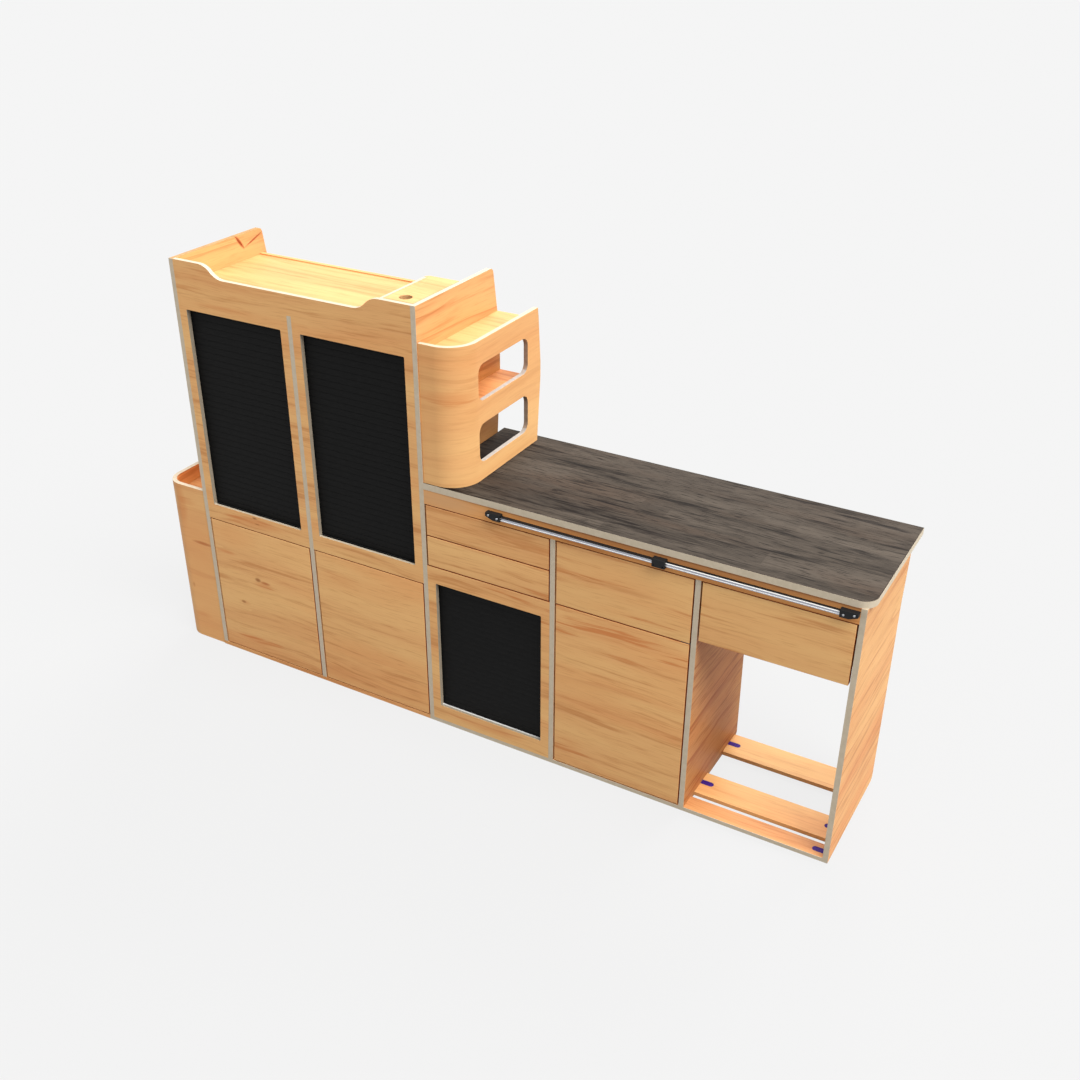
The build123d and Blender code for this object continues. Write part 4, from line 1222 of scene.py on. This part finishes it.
    def dress(
        self, node: str, rule: FaceRule = by_direction, arris: Optional[float] = None,
        cuts: Iterable[Cutline] = (),
    ) -> None:
        """Makes a board with broken edges and finished faces from a node.

        Args:
            node: The node's name.
            rule: Picks the finish of a face.
            arris: Width of the broken edges, if it isn't the usual one.
            cuts: Planes that part its faces.
        """
        work = self.copy_of(node)
        for cut in cuts:
            bmesh.ops.bisect_plane(
                work, geom=work.verts[:] + work.edges[:] + work.faces[:],
                plane_co=cut.normal() * cut.place, plane_no=cut.normal(),
            )
        self.number_boards(work, node)
        finishes = self.sort_faces(work, rule)
        width = self.arris if arris is None else arris
        if width > 0:
            self.soften(work, width)
        self.finish_piece(self.to_mesh(work, node, finishes), f"{node}_dressed", node)

    def paint(self, node: str, finish: Finish) -> None:
        """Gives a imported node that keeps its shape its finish.

        Args:
            node: The node's name.
            finish: The finish.
        """
        mesh = frame["nodes"][node].data
        mesh.materials.clear()
        mesh.materials.append(self.finishes.get(finish))
        log.info("%s keeps its shape, in %s", node, finish.value)


class PartTree(Wiring):
    """A geometry tree with named inputs, which ends in real geometry with a material."""

    def __init__(self, name: str, sizes: dict[str, float]) -> None:
        """Starts the tree.

        Args:
            name: The tree's name.
            sizes: Each input's name and value, in metres or a count.
        """
        tree = bpy.data.node_groups.new(name, "GeometryNodeTree")
        self.identifiers: dict[str, str] = {}
        self.sizes = sizes
        for label, value in sizes.items():
            kind = "NodeSocketInt" if isinstance(value, int) else "NodeSocketFloat"
            socket = tree.interface.new_socket(name=label, in_out="INPUT", socket_type=kind)
            self.identifiers[label] = socket.identifier
        tree.interface.new_socket(
            name="Geometry", in_out="OUTPUT", socket_type="NodeSocketGeometry"
        )
        super().__init__(tree)
        self.given = self.add("NodeGroupInput")
        self.result = self.add("NodeGroupOutput")

    def size(self, name: str) -> bpy.types.NodeSocket:
        """One of the tree's named sizes."""
        return self.given.outputs[name]

    def half(self, value: Value) -> bpy.types.NodeSocket:
        """Half of a size."""
        return self.math("DIVIDE", value, 2.0)

    def join(self, parts: Iterable[bpy.types.NodeSocket]) -> bpy.types.NodeSocket:
        """Joins several geometries.

        Args:
            parts: The geometries.

        Returns:
            All of them together.
        """
        joined = self.add("GeometryNodeJoinGeometry")
        for part in parts:
            self.fill(joined, {"Geometry": part})
        return joined.outputs["Geometry"]

    def end(self, geometry: bpy.types.NodeSocket, material: bpy.types.Material) -> None:
        """Ends the tree.

        Args:
            geometry: The geometry so far.
            material: The material that it gets.
        """
        real = self.made("GeometryNodeRealizeInstances", {"Geometry": geometry})
        given = {"Geometry": real, "Material": material}
        self.fill(self.result, {"Geometry": self.made("GeometryNodeSetMaterial", given)})

    def bake(self, name: str) -> bpy.types.Mesh:
        """Runs the tree once and keeps its result.

        Args:
            name: The mesh's name.

        Returns:
            A plain mesh.
        """
        holder = bpy.data.objects.new(name, bpy.data.meshes.new(f"{name}_empty"))
        bpy.context.scene.collection.objects.link(holder)
        modifier = holder.modifiers.new("Parts", "NODES")
        modifier.node_group = self.tree
        for label, value in self.sizes.items():
            modifier[self.identifiers[label]] = value
        graph = bpy.context.evaluated_depsgraph_get()
        graph.update()
        mesh = bpy.data.meshes.new_from_object(holder.evaluated_get(graph), depsgraph=graph)
        mesh.name = name
        bpy.data.objects.remove(holder)
        return mesh


@dataclass
class Carcass:
    """The fixed boards: uprights, dividers, shelves, rails and floors."""

    bench: Bench
    top_zone: float = 12 * MILLIMETRE
    joint_zone: float = 45 * MILLIMETRE

    def build(self) -> None:
        """Dresses every board of the carcass."""
        # These cuts part the right upright's face at the pod's top board and shelf, where its painted
        # shade changes.
        levels = [Cutline("Z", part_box(node)[0].z) for node in ("pod_top_board", "pod_middle_shelf")]
        for node in (
            "middle_divider", "first_divider", "second_divider", "end_panel", "right_upright",
            "left_upright", "corner_key",
        ):
            cuts = levels if node == "right_upright" else ()
            self.bench.dress(node, self.upright_rule(node), cuts=cuts)
        self.bench.dress("tall_base_board")
        self.bench.dress("tray_floor")
        # The slats' tops are wood lightened as painted light.
        self.bench.dress("open_bay_slats", topped(Finish.SLAT_WOOD))
        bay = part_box("second_divider")[0].x
        self.bench.dress("base_board", self.base_rule, cuts=[Cutline("X", bay)])
        shelf_rule = faced(2, Finish.TOP_WOOD, Finish.PLY_UP)
        rail_rule = faced(1, Finish.FRONT_WOOD, Finish.PLY_DEEP)
        self.bench.dress("rear_rails", rail_rule)
        self.bench.dress("tray_rear_rail", topped(Finish.TOP_WOOD, rail_rule))
        self.bench.dress("inner_shelves", shelf_rule)
        self.bench.dress("tray_compartment_walls", self.wall_rule)
        self.bench.dress("compartment_lid", shelf_rule)
        self.bench.dress("front_edge_bands", all_in(Finish.BAND), 0.0)

    def base_rule(self, centre: Vector, normal: Vector) -> Finish:
        """The finish of the base board's face: its own wood in the open bay."""
        in_bay = normal.z > SQUARE_ON and centre.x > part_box("second_divider")[0].x
        return Finish.STRIP_WOOD if in_bay else by_direction(centre, normal)

    def wall_rule(self, centre: Vector, normal: Vector) -> Finish:
        """The finish of a compartment wall's face: a band on its top edge."""
        on_top = centre.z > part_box("tray_compartment_walls")[1].z - MILLIMETRE
        return Finish.BAND if normal.z > SQUARE_ON and on_top else by_direction(centre, normal)

    def upright_rule(self, node: str) -> FaceRule:
        """The rule for a board that stands on edge.

        Args:
            node: The board's node.

        Returns:
            Its rule: wood at the sides, a band on top, bare layers behind.
        """
        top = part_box(node)[1].z
        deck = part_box("pod_top_board")[1].z
        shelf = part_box("pod_middle_shelf")[0].z
        in_key = node in ("left_upright", "corner_key")
        # The second divider's face towards the open bay takes wood in painted shade.
        broad = {"end_panel": Finish.PANEL_WOOD, "second_divider": Finish.SHADE_WOOD}

        def side_rule(centre: Vector, normal: Vector) -> Finish:
            """The finish of a broad face.

            Args:
                centre: The face's centre.
                normal: The face's normal.

            Returns:
                The finish.
            """
            # Inside the pod the right upright's face is wood in painted shade, lighter above the
            # shelf.
            if node == "right_upright" and normal.x > 0 and centre.z < deck:
                return Finish.NOOK_WOOD if centre.z > shelf else Finish.INNER_WOOD
            if in_key:
                return Finish.KEY_WOOD
            return broad.get(node, Finish.SIDE_WOOD) if normal.x > 0 else Finish.SIDE_WOOD

        def rule(centre: Vector, normal: Vector) -> Finish:
            """The finish of any face of the board.

            Args:
                centre: The face's centre.
                normal: The face's normal.

            Returns:
                The finish.
            """
            if abs(normal.x) > SQUARE_ON:
                return side_rule(centre, normal)
            if normal.z > HALF_ON and top - centre.z < self.top_zone:
                return Finish.TOP_EDGE if in_key else Finish.BAND
            let_in = in_key and top - centre.z < self.joint_zone and centre.y > 0
            return Finish.JOINT_WOOD if node == "corner_key" or let_in else Finish.PLY_ACROSS

        return rule


@dataclass
class Fronts:
    """Everything in the front plane: face frames, doors and drawer fronts."""

    bench: Bench
    arris: float = 0.5 * MILLIMETRE
    sill_depth: float = 5 * MILLIMETRE
    reveal_reach: float = 60 * MILLIMETRE
    top_reach: float = 90 * MILLIMETRE

    def build(self) -> None:
        """Dresses the fronts."""
        cuts = [Cutline("Y", self.sill_line())]
        self.bench.dress("tall_face_board", self.frame_rule, cuts=cuts)
        self.bench.dress("base_face_frame", self.low_frame_rule, cuts=cuts)
        # The front rail's face is wood in painted shade, with a painted shadow under the worktop.
        self.bench.dress("front_rail", faced(1, Finish.RAIL_WOOD, Finish.EDGE_WOOD, HALF_ON))
        # Doors and drawer fronts have their edges in painted gap shade.
        front_rule = faced(1, Finish.FRONT_WOOD, Finish.EDGE_WOOD, HALF_ON)
        for node in ("left_door", "right_door", "low_door"):
            self.bench.dress(node, front_rule, self.arris)
        for name in DRAWER_NAMES:
            self.bench.dress(f"{name}_drawer_front", front_rule, self.arris)
            self.bench.dress(f"{name}_drawer_box", self.box_rule)

    def sill_line(self) -> float:
        """The Y at which a sill's front part ends."""
        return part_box("base_face_frame")[1].y - self.sill_depth

    def in_opening(self, centre: Vector) -> bool:
        """Whether a frame's face lies in the edge of a shutter's opening.

        Args:
            centre: The face's centre.

        Returns:
            True beside or inside a shutter's curtain and lead bar.
        """
        for name in SHUTTER_NAMES:
            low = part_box(f"{name}_shutter_lead_bar")[0]
            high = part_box(f"{name}_shutter_curtain")[1]
            beside = low.x < centre.x < high.x
            if beside and low.z - self.reveal_reach < centre.z < high.z + MILLIMETRE:
                return True
        return False

    def frame_rule(self, centre: Vector, normal: Vector) -> Finish:
        """The finish of the tall face board's face.

        Args:
            centre: The face's centre.
            normal: The face's normal.

        Returns:
            Wood in front, bands on its top edge and in its openings with painted black shade on the
            backs of their sills, and edges in painted gap shade elsewhere.
        """
        if abs(normal.y) > HALF_ON:
            return Finish.FRONT_WOOD
        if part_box("tall_face_board")[1].z - centre.z < self.top_reach:
            return Finish.BAND
        if not self.in_opening(centre):
            return Finish.EDGE_WOOD
        if normal.z > SQUARE_ON:
            # The back of a sill, behind the lead bar, is painted black as shade.
            return Finish.SHUTTER if centre.y > self.sill_line() else Finish.BAND
        return Finish.REVEAL

    def low_frame_rule(self, centre: Vector, normal: Vector) -> Finish:
        """The finish of the low frame's face.

        Args:
            centre: The face's centre.
            normal: The face's normal.

        Returns:
            Wood in front, bands in its opening, a sill with a painted highlight and edges in painted
            gap shade.
        """
        if abs(normal.y) > HALF_ON:
            return Finish.FRONT_WOOD
        low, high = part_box("base_face_frame")
        inside = low.z + self.sill_depth < centre.z < high.z - self.sill_depth
        if not inside or not self.in_opening(centre):
            return Finish.EDGE_WOOD
        # The back of the low sill takes aluminium with a painted highlight.
        bright = normal.z > SQUARE_ON and centre.y > self.sill_line()
        return Finish.BRIGHT if bright else Finish.REVEAL

    def box_rule(self, centre: Vector, normal: Vector) -> Finish:
        """The finish of a drawer box's face: wood, with bare layers on top."""
        on_top = normal.z > SQUARE_ON and centre.z > self.box_middle(centre)
        return Finish.PLY_ACROSS if on_top else by_direction(centre, normal)

    def box_middle(self, centre: Vector) -> float:
        """The height of the middle of a drawer box.

        Args:
            centre: A point of the box.

        Returns:
            The height, or the point's own outside every box.
        """
        play = Vector((MILLIMETRE,) * 3)
        for name in DRAWER_NAMES:
            low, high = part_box(f"{name}_drawer_box")
            sides = zip(low - play, centre, high + play)
            if all(least < value < most for least, value, most in sides):
                return (low.z + high.z) / 2
        return centre.z


@dataclass
class Shutters:
    """The three roller shutters: slats, lead bars and tracks."""

    bench: Bench
    pitch: float = 17 * MILLIMETRE
    groove: float = 1.2 * MILLIMETRE
    relief: float = 0.7 * MILLIMETRE
    low_relief: float = 0.05 * MILLIMETRE
    rounding_share: float = 0.45
    rounding_steps: int = 4
    kept_share: float = 0.004
    bar_arris: float = 0.8 * MILLIMETRE
    bar_gap: float = 0.5 * MILLIMETRE
    # Size of the dark strip of painted shade behind each sill.
    shade_strip_height: float = 4 * MILLIMETRE
    shade_strip_arris: float = 0.3 * MILLIMETRE

    def build(self) -> None:
        """Makes the curtains and dresses the bars and tracks."""
        for name in SHUTTER_NAMES:
            self.curtain(name)
            self.shade_strip(name)
            bar = f"{name}_shutter_lead_bar"
            self.bench.dress(bar, all_in(Finish.SHUTTER), self.bar_arris)
        self.bench.paint("shutter_tracks", Finish.TRACK)

    def curtain(self, name: str) -> None:
        """Makes one curtain, which rides with the body of its imported curtain.

        Args:
            name: Which shutter.
        """
        node = f"{name}_shutter_curtain"
        low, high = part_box(node)
        mesh = self.slat_tree(name, low, high).bake(f"{name}_shutter_slats")
        for vertex in mesh.vertices:
            vertex.co += low
        mesh.set_sharp_from_angle(angle=self.bench.sharp_from)
        piece = self.bench.finish_piece(mesh, mesh.name, node)
        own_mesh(piece)

    def slat_tree(self, name: str, low: Vector, high: Vector) -> PartTree:
        """Builds the tree of flat slats, parted by shallow grooves, on a backing.

        Args:
            name: Which shutter.
            low: Low corner of its curtain.
            high: High corner of its curtain.

        Returns:
            The tree.
        """
        count = max(1, round((high.z - low.z) / self.pitch))
        step = (high.z - low.z) / count
        relief = self.low_relief if name == "low" else self.relief
        tree = PartTree(
            f"{name}_shutter_slats",
            {
                "Width": high.x - low.x, "Slats": count, "Pitch": step,
                "Slat height": step - self.groove, "Thickness": relief,
                "Rounding": relief * self.rounding_share, "Backing": high.y - low.y - relief,
            },
        )
        width, pitch, thickness, backing = (
            tree.size(label) for label in ("Width", "Pitch", "Thickness", "Backing")
        )
        line = tree.made("GeometryNodeCurvePrimitiveLine", {"End": tree.vector(width, 0.0, 0.0)})
        upright = tree.made("GeometryNodeSetCurveNormal", {"Curve": line}, mode="Z_UP")
        profile = tree.made(
            "GeometryNodeCurvePrimitiveQuadrilateral",
            {"Width": thickness, "Height": tree.size("Slat height")},
        )
        rounding = {"Count": self.rounding_steps, "Radius": tree.size("Rounding")}
        rounded = tree.made(
            "GeometryNodeFilletCurve", {"Curve": profile, **rounding}, mode="POLY"
        )
        slat = tree.made(
            "GeometryNodeCurveToMesh",
            {"Curve": upright, "Profile Curve": rounded, "Fill Caps": True},
        )
        row = tree.made(
            "GeometryNodeMeshLine",
            {
                "Count": tree.size("Slats"), "Offset": tree.vector(0.0, 0.0, pitch),
                "Start Location": tree.vector(0.0, tree.half(thickness), tree.half(pitch)),
            },
        )
        slats = tree.made("GeometryNodeInstanceOnPoints", {"Points": row, "Instance": slat})
        tall = tree.times(pitch, tree.size("Slats"))
        sheet = tree.made("GeometryNodeMeshCube", {"Size": tree.vector(width, backing, tall)})
        behind = tree.plus(thickness, tree.half(backing))
        place = tree.vector(tree.half(width), behind, tree.half(tall))
        moved = tree.made("GeometryNodeTransform", {"Geometry": sheet, "Translation": place})
        tree.end(tree.join((slats, moved)), self.bench.finishes.get(Finish.SHUTTER))
        return tree

    def shade_strip(self, name: str) -> None:
        """Makes the dark strip behind the sill, which the lead bar lands on, as painted shade in the
        slot behind the bar.

        Args:
            name: Which shutter.
        """
        low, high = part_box(f"{name}_shutter_lead_bar")
        front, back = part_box("base_face_frame")[1].y, high.y
        top, arris = low.z - self.bar_gap, self.shade_strip_arris
        foot = top - self.shade_strip_height
        profile = (
            (front, foot), (front, top - arris), (front + arris, top), (back - arris, top),
            (back, top - arris), (back, foot),
        )
        run = Run(profile, low.x, high.x)
        mesh = self.bench.bar_mesh(f"{name}_shutter_seal", [run], all_in(Finish.TRACK))
        self.bench.add_piece(mesh, mesh.name, "shutter_tracks")


@dataclass
class Worktop:
    """The worktop: its board, its dark laminate and its edge band."""

    bench: Bench
    laminate_arris: float = 0.15 * MILLIMETRE
    band_arris: float = 0.2 * MILLIMETRE

    def build(self) -> None:
        """Dresses the worktop."""
        self.bench.dress("worktop_board", all_in(Finish.PLY_UP))
        self.bench.dress("worktop_laminate", all_in(Finish.OAK), self.laminate_arris)
        band_rule = topped(Finish.OAK, all_in(Finish.BAND), HALF_ON)
        self.bench.dress("worktop_edge_band", band_rule, self.band_arris)


@dataclass
class Pod:
    """The shelf pod on the worktop and the locker at the left end, bent from thin boards."""

    bench: Bench
    wall: float = 8 * MILLIMETRE
    side_depth: float = 11.9 * MILLIMETRE
    skin: float = 0.1 * MILLIMETRE
    window_from: float = 77 * MILLIMETRE

    def build(self) -> None:
        """Dresses both bent boards and what they hold."""
        self.bench.dress("pod_bent_board", self.pod_rule)
        self.bench.dress("locker_bent_board", self.locker_rule)
        self.bench.dress("pod_top_board")
        self.bench.dress("locker_floor_board")
        # The shelf's top is wood in painted shade.
        self.bench.dress("pod_middle_shelf", topped(Finish.SHELF_WOOD))
        # The top of the locker's top board, inside its bent walls, is wood in painted shade.
        self.bench.dress("locker_top_board", topped(Finish.LOCKER_FLOOR))

    def pod_rule(self, centre: Vector, normal: Vector) -> Finish:
        """The finish of the pod's face.

        Args:
            centre: The face's centre.
            normal: The face's normal.

        Returns:
            Bands on its top and back edges, its own tones in the windows and wood elsewhere.
        """
        low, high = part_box("pod_bent_board")
        if abs(normal.z) > SQUARE_ON:
            in_window = low.z + self.wall < centre.z < high.z - self.wall
            return Finish.LEDGE if in_window and normal.z > 0 else Finish.BAND
        in_side = high.x - self.side_depth < centre.x < high.x - self.skin
        if in_side and abs(normal.x) < HALF_ON and centre.y > low.y + self.window_from:
            return Finish.BAND if centre.y > high.y - self.wall else Finish.RIM
        return Finish.WRAP_WOOD

    def locker_rule(self, centre: Vector, normal: Vector) -> Finish:
        """The finish of the locker's face.

        Args:
            centre: The face's centre.
            normal: The face's normal.

        Returns:
            A band on its top edge, wood outside and wood in painted shade inside.
        """
        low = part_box("locker_bent_board")[0]
        if normal.z > SQUARE_ON:
            return Finish.BAND
        inside = centre.x > low.x + self.wall and centre.y > low.y + self.wall
        return Finish.LOCKER_WOOD if inside else Finish.SHELL_WOOD


@dataclass
class Fittings:
    """Metal and plastic fittings: rail, brackets, screws, slides, pivots and plugs.

    The rail's sections are in millimetres behind and above its foot, one for each side of the
    middle bracket.
    """

    bench: Bench
    bracket_arris: float = 0.8 * MILLIMETRE
    plug_arris: float = 0.5 * MILLIMETRE
    # The least upward share of a rail face that takes the painted highlight.
    highlight_from: float = 0.3
    rail_front: Profile = (
        (10.0, 0.0), (1.2, 0.0), (0.3, 0.3), (0.0, 1.2), (0.0, 2.4), (1.1, 3.4), (1.1, 5.8),
        (0.0, 6.6),
    )
    rail_tops: tuple[Profile, Profile] = (
        ((0.0, 8.4), (10.0, 8.4)),
        ((0.0, 8.7), (0.7, 9.4), (10.0, 9.4)),
    )
    rail_strips: tuple[Profile, Profile] = (
        ((10.0, 8.5), (0.2, 8.5), (0.2, 9.6), (0.6, 10.0), (10.0, 10.0)),
        ((10.0, 9.5), (2.4, 9.5), (2.4, 9.8), (2.6, 10.0), (10.0, 10.0)),
    )
    head_radius: float = 2.6 * MILLIMETRE
    head_height: float = 1.2 * MILLIMETRE
    head_reach: float = 3.0
    head_sides: int = 32
    recess_depth: float = 0.8 * MILLIMETRE
    recess_arms: int = 4
    recess_width: float = 0.40
    recess_lobes: float = 0.34
    head_rings: tuple[tuple[float, float, float], ...] = (
        (1.00, 0.00, 0.0), (1.00, 0.35, 0.0), (0.93, 0.70, 0.0), (0.75, 0.92, 0.0),
        (0.46, 1.00, recess_lobes),
    )

    def build(self) -> None:
        """Makes and dresses the fittings."""
        self.rail()
        for node in ("rail_end_brackets", "rail_middle_bracket"):
            self.bench.dress(node, all_in(Finish.BRACKET), self.bracket_arris)
        self.screws()
        self.bench.dress("slot_plugs", all_in(Finish.PLUG), self.plug_arris)
        slides = [f"{name}_drawer_slides" for name in DRAWER_NAMES]
        for node in (*slides, "fixed_slides", "door_pivots"):
            self.bench.paint(node, Finish.SLIDE)
        self.bench.dress("door_catches", all_in(Finish.BRACKET), self.bracket_arris)

    def section(
        self, name: str, node: str, profiles: Sequence[Profile], rule: FaceRule
    ) -> None:
        """Makes a drawn bar along X from its sections before and after the middle bracket.

        Args:
            name: The piece's name.
            node: The node that it stands for and that gives its ends.
            profiles: Both sections.
            rule: Picks the finish of a face.
        """
        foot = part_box("table_rail")[0]
        low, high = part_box(node)
        middle = sum(corner.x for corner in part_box("rail_middle_bracket")) / 2
        corners = [
            [(foot.y + back * MILLIMETRE, foot.z + up * MILLIMETRE) for back, up in profile]
            for profile in profiles
        ]
        runs = [Run(corners[0], low.x, middle), Run(corners[1], middle, high.x)]
        self.bench.finish_piece(self.bench.bar_mesh(name, runs, rule), name, node)

    def rail(self) -> None:
        """Makes the aluminium rail with its two ribs, and the dark strip in its top."""
        # The rail's upward faces take aluminium with a painted highlight.
        self.section(
            "table_rail_section", "table_rail", [self.rail_front + top for top in self.rail_tops],
            topped(Finish.BRIGHT, all_in(Finish.ALUMINIUM), self.highlight_from),
        )
        self.section(
            "table_rail_strip", "table_rail_insert", self.rail_strips, all_in(Finish.BRACKET)
        )

    def screw_head(self) -> bpy.types.Object:
        """Makes one domed screw head with a cross recess, facing the front.

        Returns:
            An object for the tree to copy.
        """
        recess_floor = 1.00 - self.recess_depth / self.head_height
        rings = (*self.head_rings, (self.recess_width, recess_floor, self.recess_lobes))
        turns = [2 * math.pi * number / self.head_sides for number in range(self.head_sides)]
        work = bmesh.new()
        loops = []
        for wide, up, lobe in rings:
            spread = [
                self.head_radius * wide * (1 + lobe * math.cos(self.recess_arms * turn))
                for turn in turns
            ]
            loops.append([
                work.verts.new(
                    (radius * math.cos(turn), -up * self.head_height, radius * math.sin(turn))
                )
                for turn, radius in zip(turns, spread)
            ])
        for lower, upper in zip(loops, loops[1:]):
            self.bench.join_rings(work, lower, upper)
        work.faces.new(loops[0])
        work.faces.new(loops[-1])
        bmesh.ops.recalc_face_normals(work, faces=work.faces)
        mesh = bpy.data.meshes.new("screw_head")
        work.to_mesh(mesh)
        work.free()
        head = bpy.data.objects.new("screw_head_pattern", mesh)
        bpy.context.scene.collection.objects.link(head)
        return head

    def screw_places(self) -> list[Vector]:
        """The middle of each screw's head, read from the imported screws.

        Returns:
            The places, left to right.
        """
        mesh = frame["nodes"]["bracket_screws"].data
        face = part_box("bracket_screws")[0].y + self.head_height
        front = [vertex.co for vertex in mesh.vertices if vertex.co.y < face]
        groups: list[list[Vector]] = []
        for place in sorted(front, key=lambda corner: corner.x):
            if groups and place.x - groups[-1][0].x < self.head_reach * self.head_radius:
                groups[-1].append(place)
            else:
                groups.append([place])
        middles = []
        for group in groups:
            x, _, z = (
                (min(values) + max(values)) / 2 for values in zip(*(tuple(p) for p in group))
            )
            middles.append(Vector((x, face, z)))
        return middles

    def screws(self) -> None:
        """Puts a screw head at each place with a geometry tree."""
        head = self.screw_head()
        places = self.screw_places()
        tree = PartTree(
            "bracket_screw_heads",
            {
                f"Screw {number} {axis}": value
                for number, place in enumerate(places, 1) for axis, value in zip(AXES, place)
            },
        )
        pattern = tree.add("GeometryNodeObjectInfo", {"Object": head})
        points = []
        for number in range(1, len(places) + 1):
            spot = tree.vector(*(tree.size(f"Screw {number} {axis}") for axis in AXES))
            points.append(tree.made("GeometryNodePoints", {"Position": spot}))
        given = {"Points": tree.join(points), "Instance": pattern.outputs["Geometry"]}
        heads = tree.made("GeometryNodeInstanceOnPoints", given)
        tree.end(heads, self.bench.finishes.get(Finish.STEEL))
        mesh = tree.bake("bracket_screw_heads")
        mesh.shade_smooth()
        mesh.set_sharp_from_angle(angle=self.bench.sharp_from)
        bpy.data.objects.remove(head)
        self.bench.finish_piece(mesh, mesh.name, "bracket_screws")


@dataclass
class Studio:
    """The pale floor, the light and the camera."""

    camera_place: tuple[float, float, float] = (1.4825, -2.4178, 2.0790)
    camera_tilt: float = 59.669
    camera_turn: float = 30.013
    lens: float = 41.72
    sensor: float = 36.0
    shift_right: float = 0.00875
    shift_up: float = 0.02525
    floor_size: float = 80.0
    floor_gap: float = 0.5 * MILLIMETRE
    pale: Colour = srgb(245, 245, 245)
    white: Colour = (1.0, 1.0, 1.0, 1.0)
    shadow_share: float = 0.12
    shadow_tone: float = 0.40
    floor_tone: float = 0.18
    sky: float = 0.80
    spread: float = 40.0
    key_power: float = 3.7
    key_from: tuple[float, float, float] = (0.70, -0.17, 1.0)
    back_power: float = 3.0
    back_from: tuple[float, float, float] = (0.0, 1.0, 0.62)

    def build(self) -> None:
        """Sets up the studio."""
        self.floor()
        self.world()
        self.sun("key_light", self.key_from, self.key_power)
        self.sun("back_light", self.back_from, self.back_power)
        self.camera()
        bpy.context.scene.view_settings.view_transform = "Standard"
        log.info("studio is ready")

    def seen_directly(self, wiring: Wiring) -> bpy.types.NodeSocket:
        """One where a ray comes from the camera or from glossy or clear material.

        Args:
            wiring: The tree's wiring.

        Returns:
            1 for such rays and 0 for others.
        """
        path = wiring.add("ShaderNodeLightPath").outputs
        sharp = wiring.math("MAXIMUM", path["Is Glossy Ray"], path["Is Transmission Ray"])
        return wiring.math("MAXIMUM", path["Is Camera Ray"], sharp)

    def mixed(
        self, wiring: Wiring, share: Value, first: Value, second: Value
    ) -> bpy.types.NodeSocket:
        """Two shaders mixed, with the given share of the second."""
        return wiring.made("ShaderNodeMixShader", {0: share, 1: first, 2: second})

    def floor(self) -> None:
        """Lays a pale floor that keeps a faint shadow."""
        half = self.floor_size / 2
        mesh = bpy.data.meshes.new("floor")
        corners = [(-half, -half), (half, -half), (half, half), (-half, half)]
        mesh.from_pydata([(x, y, -self.floor_gap) for x, y in corners], [], [(0, 1, 2, 3)])
        floor = bpy.data.objects.new("floor", mesh)
        bpy.context.scene.collection.objects.link(floor)
        material = bpy.data.materials.new("pale_floor")
        material.use_nodes = True
        wiring = Wiring(material.node_tree)
        seen = self.seen_directly(wiring)
        tones = [(tone,) * 3 + (1.0,) for tone in (self.floor_tone, self.shadow_tone)]
        lit = wiring.made("ShaderNodeBsdfDiffuse", {"Color": wiring.blend(seen, *tones)})
        glow = wiring.made("ShaderNodeEmission", {"Color": self.pale})
        share = wiring.times(seen, 1.0 - self.shadow_share)
        surface = self.mixed(wiring, share, lit, glow)
        wiring.add("ShaderNodeOutputMaterial", {"Surface": surface})
        mesh.materials.append(material)

    def world(self) -> None:
        """Makes an even sky, which the camera sees as pale."""
        world = bpy.data.worlds.new("studio_sky")
        world.use_nodes = True
        bpy.context.scene.world = world
        wiring = Wiring(world.node_tree)
        sky = wiring.made("ShaderNodeBackground", {"Color": self.white, "Strength": self.sky})
        seen = wiring.made("ShaderNodeBackground", {"Color": self.pale})
        surface = self.mixed(wiring, self.seen_directly(wiring), sky, seen)
        wiring.add("ShaderNodeOutputWorld", {"Surface": surface})

    def sun(self, name: str, source: tuple[float, float, float], power: float) -> None:
        """Adds one soft sun.

        Args:
            name: Its name.
            source: The direction that its light comes from.
            power: Its strength.
        """
        light = bpy.data.lights.new(name, "SUN")
        light.energy = power
        light.angle = math.radians(self.spread)
        lamp = bpy.data.objects.new(name, light)
        lamp.rotation_mode = "QUATERNION"
        lamp.rotation_quaternion = Vector(source).to_track_quat("Z", "Y")
        bpy.context.scene.collection.objects.link(lamp)

    def camera(self) -> None:
        """Stands the camera where the photograph was taken from."""
        data = bpy.data.cameras.new("camera")
        data.lens = self.lens
        data.sensor_width = self.sensor
        data.shift_x = self.shift_right
        data.shift_y = self.shift_up
        camera = bpy.data.objects.new("camera", data)
        camera.location = self.camera_place
        tilt, turn = math.radians(self.camera_tilt), math.radians(self.camera_turn)
        camera.rotation_euler = (tilt, 0.0, turn)
        bpy.context.scene.collection.objects.link(camera)
        bpy.context.scene.camera = camera


def write_sizes() -> None:
    """Brings the view layer up to date.
    """
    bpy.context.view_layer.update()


def main() -> None:
    """Builds the cabinet's looks, sub-assembly by sub-assembly."""
    logging.basicConfig(level=logging.INFO, format="%(name)s: %(message)s")
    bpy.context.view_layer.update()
    bench = Bench(Finishes())
    for assembly in (Carcass, Fronts, Shutters, Worktop, Pod, Fittings):
        assembly(bench).build()
    Studio().build()
    write_sizes()
    log.info("%d pieces are dressed", bench.pieces)


if __name__ == "__main__":
    main()
